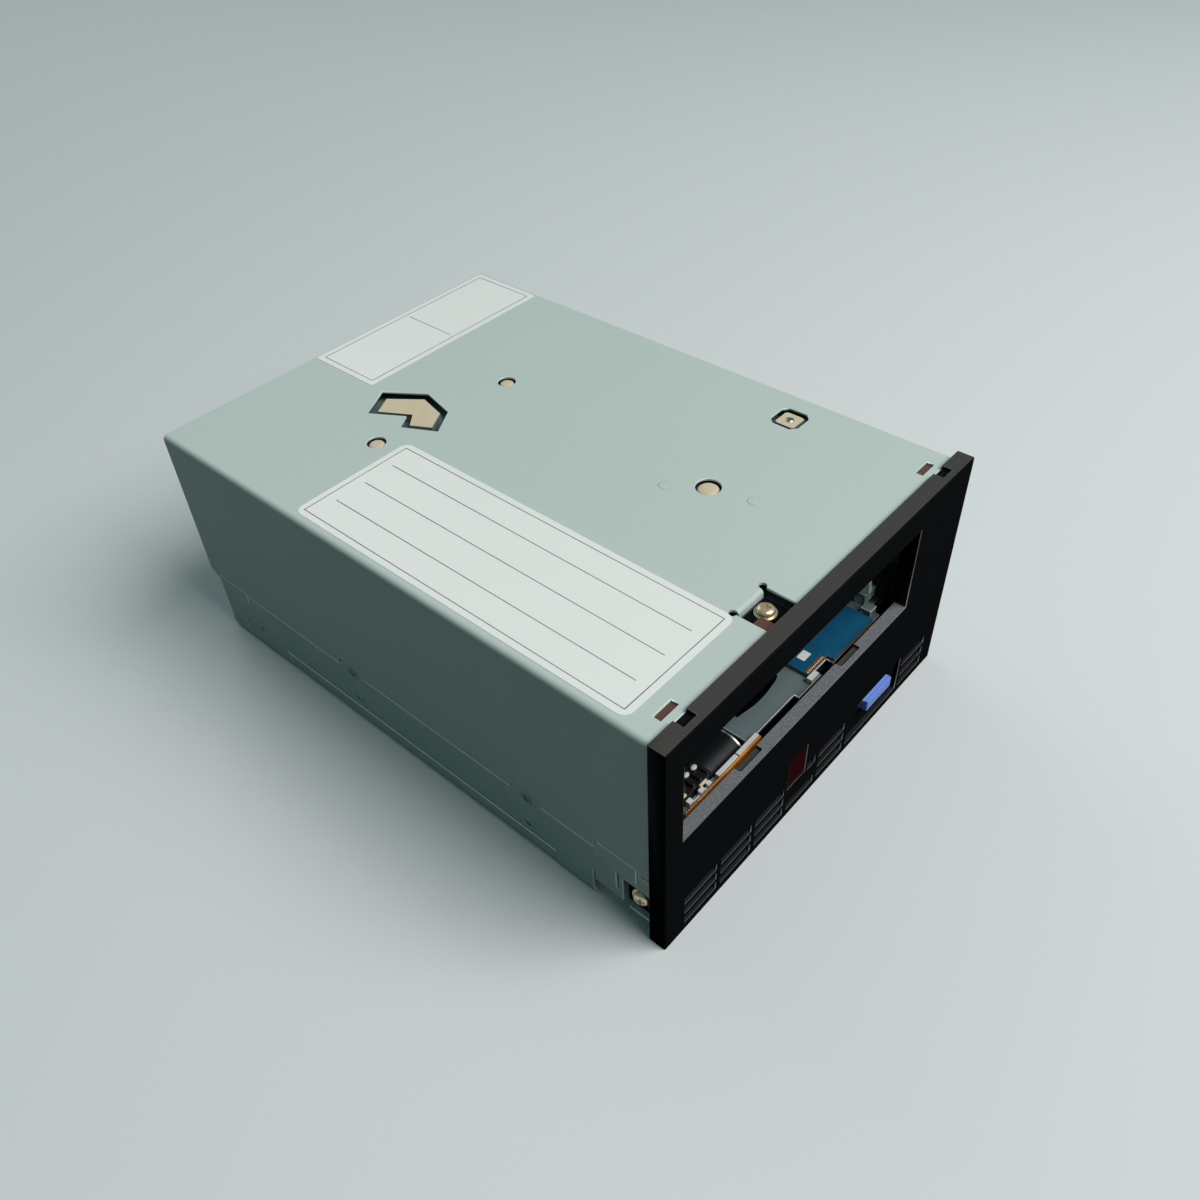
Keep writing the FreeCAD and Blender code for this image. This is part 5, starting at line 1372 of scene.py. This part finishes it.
@dataclass
class MouthFittings(SubAssembly):
    """What shows through the cartridge mouth."""

    plate_edge: float = 0.00018
    lever_side: float = 0.0382
    board_edge: float = 0.00012
    clip_edge: float = 0.0002
    lever_edge: float = 0.00025
    peg_edge: float = 0.00022
    socket_edge: float = 0.00015
    motor_nose: float = 0.0008
    motor_nose_radius: float = 0.003
    motor_cap: float = 0.0012
    motor_chamfer: float = 0.0005
    rim_length: float = 0.0007
    rim_chamfer: float = 0.00015
    film: float = 0.00012
    film_bend: float = 0.00022
    film_gap: float = 0.00005
    film_steps: int = 64
    film_sway: tuple[Pair, ...] = ((0.00004, 0.31), (0.00002, 0.79))
    fold_reach: float = 0.0004
    wide_reach: float = 0.00068
    wide_fold: Pair = (-0.0333, -0.0234)
    first_stripe: float = -0.0577
    stripe_pitch: float = 0.00095
    stripe_count: int = 6
    stripe_shift: float = 0.00038
    stripe: Point = (0.0004, 0.00038, 0.00003)
    stud_places: Pair = (-0.0488, -0.0454)
    stud_shift: float = 0.0074
    stud_level: float = 0.042
    stud_radius: float = 0.0009
    sleeve_place: Pair = (-0.0473, 0.00272)
    sleeve_radius: float = 0.00045
    sleeve_half: float = 0.0015
    sleeve_chamfer: float = 0.00012
    block_low: Point = (-0.0549, 0.0033, 0.041)
    block_high: Point = (-0.0535, 0.0048, 0.0417)
    block_edge: float = 0.00025
    sticker: Area = (0.0089, 0.0073, 0.0129, 0.0101)
    sticker_sheet: float = 0.00008
    sticker_corner: float = 0.0003
    sticker_edge: float = 0.00002
    finger: Point = (0.00052, 0.0013, 0.00006)
    finger_place: Pair = (0.0098, 0.0043)
    finger_count: int = 11
    finger_pitch: float = 0.0008

    def build(self) -> None:
        """Makes the bracket, board, motor, connectors, flex, clip and lever."""
        bench = self.bench
        plate = bench.refine("front_bracket", "motor_plate", PLATE, self.plate_edge, 2, PLATE_EDGE)
        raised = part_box("deck")[1].z + 0.0002
        bench.paint(plate, LEVER, lambda face: face.center.x > self.lever_side and face.center.z > raised)
        board = bench.refine("front_board", "front_circuit", BLUE_BOARD, self.board_edge)
        bench.paint(board, LAMINATE, lambda face: abs(face.normal.z) < 0.4)
        bench.refine("cable_clip", "cable_clip_body", CLIP, self.clip_edge)
        bench.refine("mouth_lever", "lever_blade", LEVER, self.lever_edge, 3)
        bench.refine("clip_pegs", "peg_row", NYLON, self.peg_edge, 3)
        for number in (1, 2, 3):
            bench.refine(f"flex_connector_{number}", f"flex_socket_{number}", NYLON, self.socket_edge)
        self.motor()
        self.flex()
        self.leads()
        self.board_trim()

    def motor(self) -> None:
        """Makes the black can with a bright rim and a stepped end, lying along X."""
        low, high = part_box("loader_motor")
        centre = (low + high) / 2
        radius = (high.y - low.y) / 2
        length = high.x - low.x
        end = length - self.motor_cap
        place = Matrix.Translation((low.x, centre.y, centre.z)) @ Matrix.Rotation(QUARTER, 4, "Y")
        nose, thin = self.motor_nose, self.motor_nose_radius
        seam = end - self.rim_length
        can = [(0, 0), (thin, 0), (thin, nose), (radius * 0.93, nose), (radius, nose + self.motor_chamfer),
               (radius, seam), (0, seam)]
        rim = [(0, seam), (radius, seam), (radius, end - self.rim_chamfer), (radius * 0.98, end),
               (radius * 0.8, end), (radius * 0.76, length), (0, length)]
        for name, profile, finish, nodes in (("loader_can", can, MOTOR, ["loader_motor"]),
                                             ("loader_rim", rim, STEEL, [])):
            mesh = self.bench.lathe(name, profile, 64, place)
            self.bench.put(name, mesh, finish, creased=True, stands_for=nodes)

    def film_section(self, step: int) -> list[Point]:
        """Draws the ribbon's closed outline at one of its steps.

        Args:
            step: Number of the step, from the left.

        Returns:
            The outline's corners: up the front, over the fold and back along the inside.
        """
        low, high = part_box("front_flex")
        x = low.x + (high.x - low.x) * step / self.film_steps
        y = low.y + self.film_gap
        for swing, rate in self.film_sway:
            y += swing * math.sin(step * rate)
        reach = self.wide_reach if self.wide_fold[0] < x < self.wide_fold[1] else self.fold_reach
        bend = self.film_bend
        ring = []
        for skin in (0.0, self.film):
            radius = bend - skin
            turn = [(y + bend - radius * math.cos(angle), high.z - bend + radius * math.sin(angle))
                    for angle in (0.0, 0.5, 1.05, QUARTER)]
            path = [(y + skin, low.z), *turn, (y + reach, high.z - skin)]
            ring.extend(path if skin == 0.0 else reversed(path))
        return [(x, *spot) for spot in ring]

    def flex(self) -> None:
        """Makes the film ribbon that stands in front of the connectors and folds over towards them."""
        shape = bmesh.new()
        rows = [[shape.verts.new(spot) for spot in self.film_section(step)]
                for step in range(self.film_steps + 1)]
        count = len(rows[0])
        for a, b in zip(rows, rows[1:]):
            for i in range(count):
                j = (i + 1) % count
                shape.faces.new((a[i], a[j], b[j], b[i]))
        shape.faces.new(rows[0])
        shape.faces.new(list(reversed(rows[-1])))
        bmesh.ops.recalc_face_normals(shape, faces=shape.faces)
        self.bench.put("film_ribbon", pour(shape, "film_ribbon"), FLEX, creased=True,
                       stands_for=["front_flex"])
        low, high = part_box("front_flex")
        stripe = self.bench.tile("stripe", self.stripe)
        middle = self.first_stripe + self.stripe_pitch * (self.stripe_count - 1) / 2
        self.repeat.grid("film_stripes", stripe, CLIP, self.stripe_count, self.stripe_pitch,
                         (middle, low.y + self.stripe_shift, high.z))

    def leads(self) -> None:
        """Makes pale caps on the clip's studs, and the sleeves that lie on the pegs and the clip."""
        bench, front = self.bench, self.front
        dome = [(0, -0.0002), (0.95, -0.0002), (1.0, 0.0), (0.95, 0.0002), (0.7, 0.0004), (0, 0.0005)]
        cap = bench.lathe("stud_cap", [(radius * self.stud_radius, level) for radius, level in dome], 32)
        studs = [Spot((x, self.stud_shift + front, self.stud_level), size=(1.25, 0.9, 1))
                 for x in self.stud_places]
        self.repeat.place("stud_caps", cap, NYLON, studs)
        r, half, chamfer = self.sleeve_radius, self.sleeve_half, self.sleeve_chamfer
        barrel = [(0, -half), (r * 0.8, -half), (r, -half + chamfer), (r, half - chamfer), (r * 0.8, half),
                  (0, half)]
        x, y = self.sleeve_place
        spot = (x, y + front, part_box("clip_pegs")[1].z + 0.0001)
        place = Matrix.Translation(spot) @ Matrix.Rotation(QUARTER, 4, "Y")
        bench.put("lead_sleeve", bench.lathe("lead_sleeve", barrel, 32, place), SLEEVE, creased=True)
        low, high = ((x, y + front, z) for x, y, z in (self.block_low, self.block_high))
        bench.put("lead_block", bench.block("lead_block", low, high), SLEEVE, self.block_edge, 4)

    def board_trim(self) -> None:
        """Makes the blank sticker and the gold fingers on the front board."""
        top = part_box("front_board")[1].z
        x0, y0, x1, y1 = self.sticker
        outline = rounded(x0, y0 + self.front, x1, y1 + self.front, self.sticker_corner, 3)
        sticker = self.bench.slab("board_sticker", outline, top, top + self.sticker_sheet)
        self.bench.put("board_sticker", sticker, PAPER, self.sticker_edge)
        x, y = self.finger_place
        self.repeat.grid("board_fingers", self.bench.tile("finger", self.finger), CONTACT, self.finger_count,
                         self.finger_pitch, (x, y + self.front, top))


@dataclass
class Mechanism(SubAssembly):
    """Deck, loader, reels, tape path and the electronics under them."""

    eased: tuple[tuple[str, Finish, float], ...] = (
        ("deck", DECK, 0.0003), ("guide_plate_left", STEEL, 0.00015), ("guide_plate_right", STEEL, 0.00015),
        ("gear_bracket", STEEL, 0.00015), ("cartridge_lift", STEEL, 0.00018),
        ("cam_plate_left", STEEL, 0.00012), ("cam_plate_right", STEEL, 0.00012),
        ("head_frame", STEEL, 0.0002), ("head_carriage", CARRIAGE, 0.0002), ("tape_head", CERAMIC, 0.00015),
        ("threader_post", STEEL, 0.0001), ("threader_arm", STEEL, 0.00015), ("main_board", BOARD, 0.0001),
        ("data_connector", SOCKET, 0.0002), ("power_inlet", NYLON, 0.0002), ("id_header", SOCKET, 0.0001))
    dressed: tuple[tuple[str, Finish], ...] = (
        ("motor_pinion", BRASS), ("idler_gear", GEAR), ("cross_shaft", GEAR), ("supply_stator", STATOR),
        ("supply_rotor", ROTOR), ("takeup_stator", STATOR), ("takeup_rotor", ROTOR), ("supply_spindle", REEL),
        ("takeup_reel", REEL), ("takeup_flange", FLANGE), ("guide_roller_1", ROLLER),
        ("guide_roller_2", ROLLER), ("guide_roller_3", ROLLER), ("guide_roller_4", ROLLER))
    sink_foot: float = 0.0012
    sink_edge: float = 0.0001
    fin_sheet: float = 0.0012
    fin_count: int = 7
    contact_pitch: float = 0.0024
    contact_margin: float = 0.012
    contact_rows: tuple[tuple[str, float], ...] = (("contacts_low", 0.01375), ("contacts_high", 0.01625))
    contact_place: float = 0.1995
    blade: Point = (0.0008, 0.004, 0.0001)
    leg: Point = (0.00036, 0.0012, 0.0004)
    leg_margin: float = 0.001
    leg_spread: float = 0.0008
    leg_pitch: float = 0.0008
    leg_level: float = 0.0096
    packages: tuple[tuple[str, Area], ...] = (
        ("legs_memory", (0.026, 0.126, 0.044, 0.136)), ("legs_servo", (-0.048, 0.096, -0.034, 0.110)),
        ("legs_driver", (-0.020, 0.092, 0.0, 0.100)))

    def build(self) -> None:
        """Makes the working parts and the boards."""
        for node, finish, width in self.eased:
            self.bench.refine(node, node + "_eased", finish, width)
        for node, finish in self.dressed:
            self.bench.dress(node, finish)
        self.heat_sink()
        self.rear_contacts()
        self.chip_legs()

    def heat_sink(self) -> None:
        """Makes the finned block on the largest package."""
        low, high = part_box("heat_sink")
        rise = self.sink_foot
        foot = self.bench.block("sink_foot", low, (high.x, high.y, low.z + rise))
        self.bench.put("sink_foot", foot, SINK, self.sink_edge, stands_for=["heat_sink"])
        middle = (low + high) / 2
        fin = self.bench.tile("fin", (self.fin_sheet, high.y - low.y, high.z - low.z - rise))
        pitch = (high.x - low.x - self.fin_sheet) / (self.fin_count - 1)
        self.repeat.grid("sink_fins", fin, SINK, self.fin_count, pitch, (middle.x, middle.y, low.z + rise))

    def rear_contacts(self) -> None:
        """Makes the rows of gold contacts on the data connector's tongue."""
        low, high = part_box("data_connector")
        count = int((high.x - low.x - self.contact_margin) / self.contact_pitch)
        corner = Vector(self.blade) / 2
        for name, level in self.contact_rows:
            blade = self.bench.block("blade", -corner, corner)
            self.repeat.grid(name, blade, CONTACT, count, self.contact_pitch,
                             ((low.x + high.x) / 2, self.contact_place + self.front, level))

    def chip_legs(self) -> None:
        """Makes the tinned legs along the sides of the board's packages."""
        for name, (x0, y0, x1, y1) in self.packages:
            count = int((x1 - x0 - self.leg_margin) / self.leg_pitch)
            middle = ((x0 + x1) / 2, (y0 + y1) / 2 + self.front, self.leg_level)
            self.repeat.grid(name, self.bench.tile("leg", self.leg), TIN, count, self.leg_pitch, middle,
                             rows=2, row_pitch=y1 - y0 + self.leg_spread)


@dataclass
class Studio:
    """Floor, lamps and the camera."""

    eye: Point = (-0.195521, -0.189289, 0.275932)
    right: Point = (0.65837919, -0.75167062, -0.03909103)
    down: Point = (-0.52910168, -0.42524533, -0.73431452)
    ahead: Point = (0.53533938, 0.50414053, -0.67768287)
    lens: float = 32.3272
    sensor: float = 36.0
    clip: Pair = (0.01, 50.0)
    floor_level: float = -0.001
    floor_half: float = 2.4
    floor_lit: Point = srgb(78, 80, 80)
    floor_seen: Point = srgb(214, 215, 215)
    room_lit: Point = (0.5, 1.0, 1.0)
    room_strength: float = 0.145
    room_seen: Point = srgb(196, 198, 198)
    aim: Point = (0.0, 0.0, 0.04)
    lamps: tuple[tuple[str, Point, float, float], ...] = (
        ("overhead", (0.35, -0.95, 1.35), 1.1, 28.5), ("behind", (0.3, 1.3, 0.9), 0.9, 3.0))

    def build(self) -> None:
        """Sets up the picture: a large lamp overhead towards the front right and a weak one behind."""
        self.camera()
        self.floor()
        for name, place, size, power in self.lamps:
            self.lamp(name, place, size, power)
        self.room()
        bpy.context.scene.view_settings.view_transform = "Standard"

    def camera(self) -> None:
        """Stands the camera at the object's own viewing angle."""
        data = bpy.data.cameras.new("camera")
        data.lens, data.sensor_width = self.lens, self.sensor
        data.clip_start, data.clip_end = self.clip
        columns = (Vector(self.right), -Vector(self.down), -Vector(self.ahead))
        turn = Matrix([[column[row] for column in columns] for row in range(3)]).to_4x4()
        holder = link(bpy.data.objects.new("camera", data))
        holder.matrix_world = Matrix.Translation(self.eye) @ turn
        bpy.context.scene.camera = holder

    def floor(self) -> None:
        """Lays a wide sheet that looks pale to the camera and reflects less onto the object."""
        half, level = self.floor_half, self.floor_level
        mesh = bpy.data.meshes.new("floor")
        corners = [(x, y, level) for x, y in ((-half, -half), (half, -half), (half, half), (-half, half))]
        mesh.from_pydata(corners, [], [(0, 1, 2, 3)])
        paper = bpy.data.materials.new("floor_paper")
        paper.use_nodes = True
        tree = Tree(paper.node_tree)
        path = tree.add("ShaderNodeLightPath")
        seen = tree.add("ShaderNodeMath", {
            0: path.outputs["Is Camera Ray"], 1: path.outputs["Is Glossy Ray"]}, operation="MAXIMUM")
        tree.fill(paper.node_tree.nodes["Principled BSDF"], {
            "Base Color": tree.blend(seen.outputs["Value"], self.floor_lit, self.floor_seen),
            "Roughness": 0.9, "Specular IOR Level": 0.1})
        mesh.materials.append(paper)
        sheet = link(bpy.data.objects.new("floor", mesh))

    def lamp(self, name: str, place: Point, size: float, power: float) -> None:
        """Adds one soft square lamp aimed at the object.

        Args:
            name: Name of the lamp.
            place: Its position.
            size: Side of its square.
            power: Watts.
        """
        data = bpy.data.lights.new(name, "AREA")
        data.size, data.energy = size, power
        holder = link(bpy.data.objects.new(name, data))
        holder.location = place
        holder.rotation_euler = (Vector(self.aim) - Vector(place)).to_track_quat("-Z", "Y").to_euler()

    def room(self) -> None:
        """Surrounds the object with a dim room that looks pale to the camera."""
        world = bpy.data.worlds.new("room")
        world.use_nodes = True
        tree = Tree(world.node_tree)
        dim = world.node_tree.nodes["Background"]
        tree.fill(dim, {"Color": (*self.room_lit, 1.0), "Strength": self.room_strength})
        pale = tree.add("ShaderNodeBackground", {"Color": (*self.room_seen, 1.0)})
        path = tree.add("ShaderNodeLightPath")
        mix = tree.add("ShaderNodeMixShader", {
            "Fac": path.outputs["Is Camera Ray"],
            1: dim.outputs["Background"],
            2: pale.outputs["Background"]})
        tree.fill(world.node_tree.nodes["World Output"], {"Surface": mix.outputs["Shader"]})
        bpy.context.scene.world = world


def main() -> None:
    """Builds the sub-assemblies in order."""
    logging.basicConfig(level=logging.INFO, format="%(message)s")
    bench = Bench(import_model())
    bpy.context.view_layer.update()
    repeat = Repeater(bench)
    Studio().build()
    for part in (Enclosure(bench, repeat), Front(bench, repeat), MouthFittings(bench, repeat),
                 Mechanism(bench, repeat)):
        log.info("building %s", type(part).__name__)
        part.build()


if __name__ == "__main__":
    main()
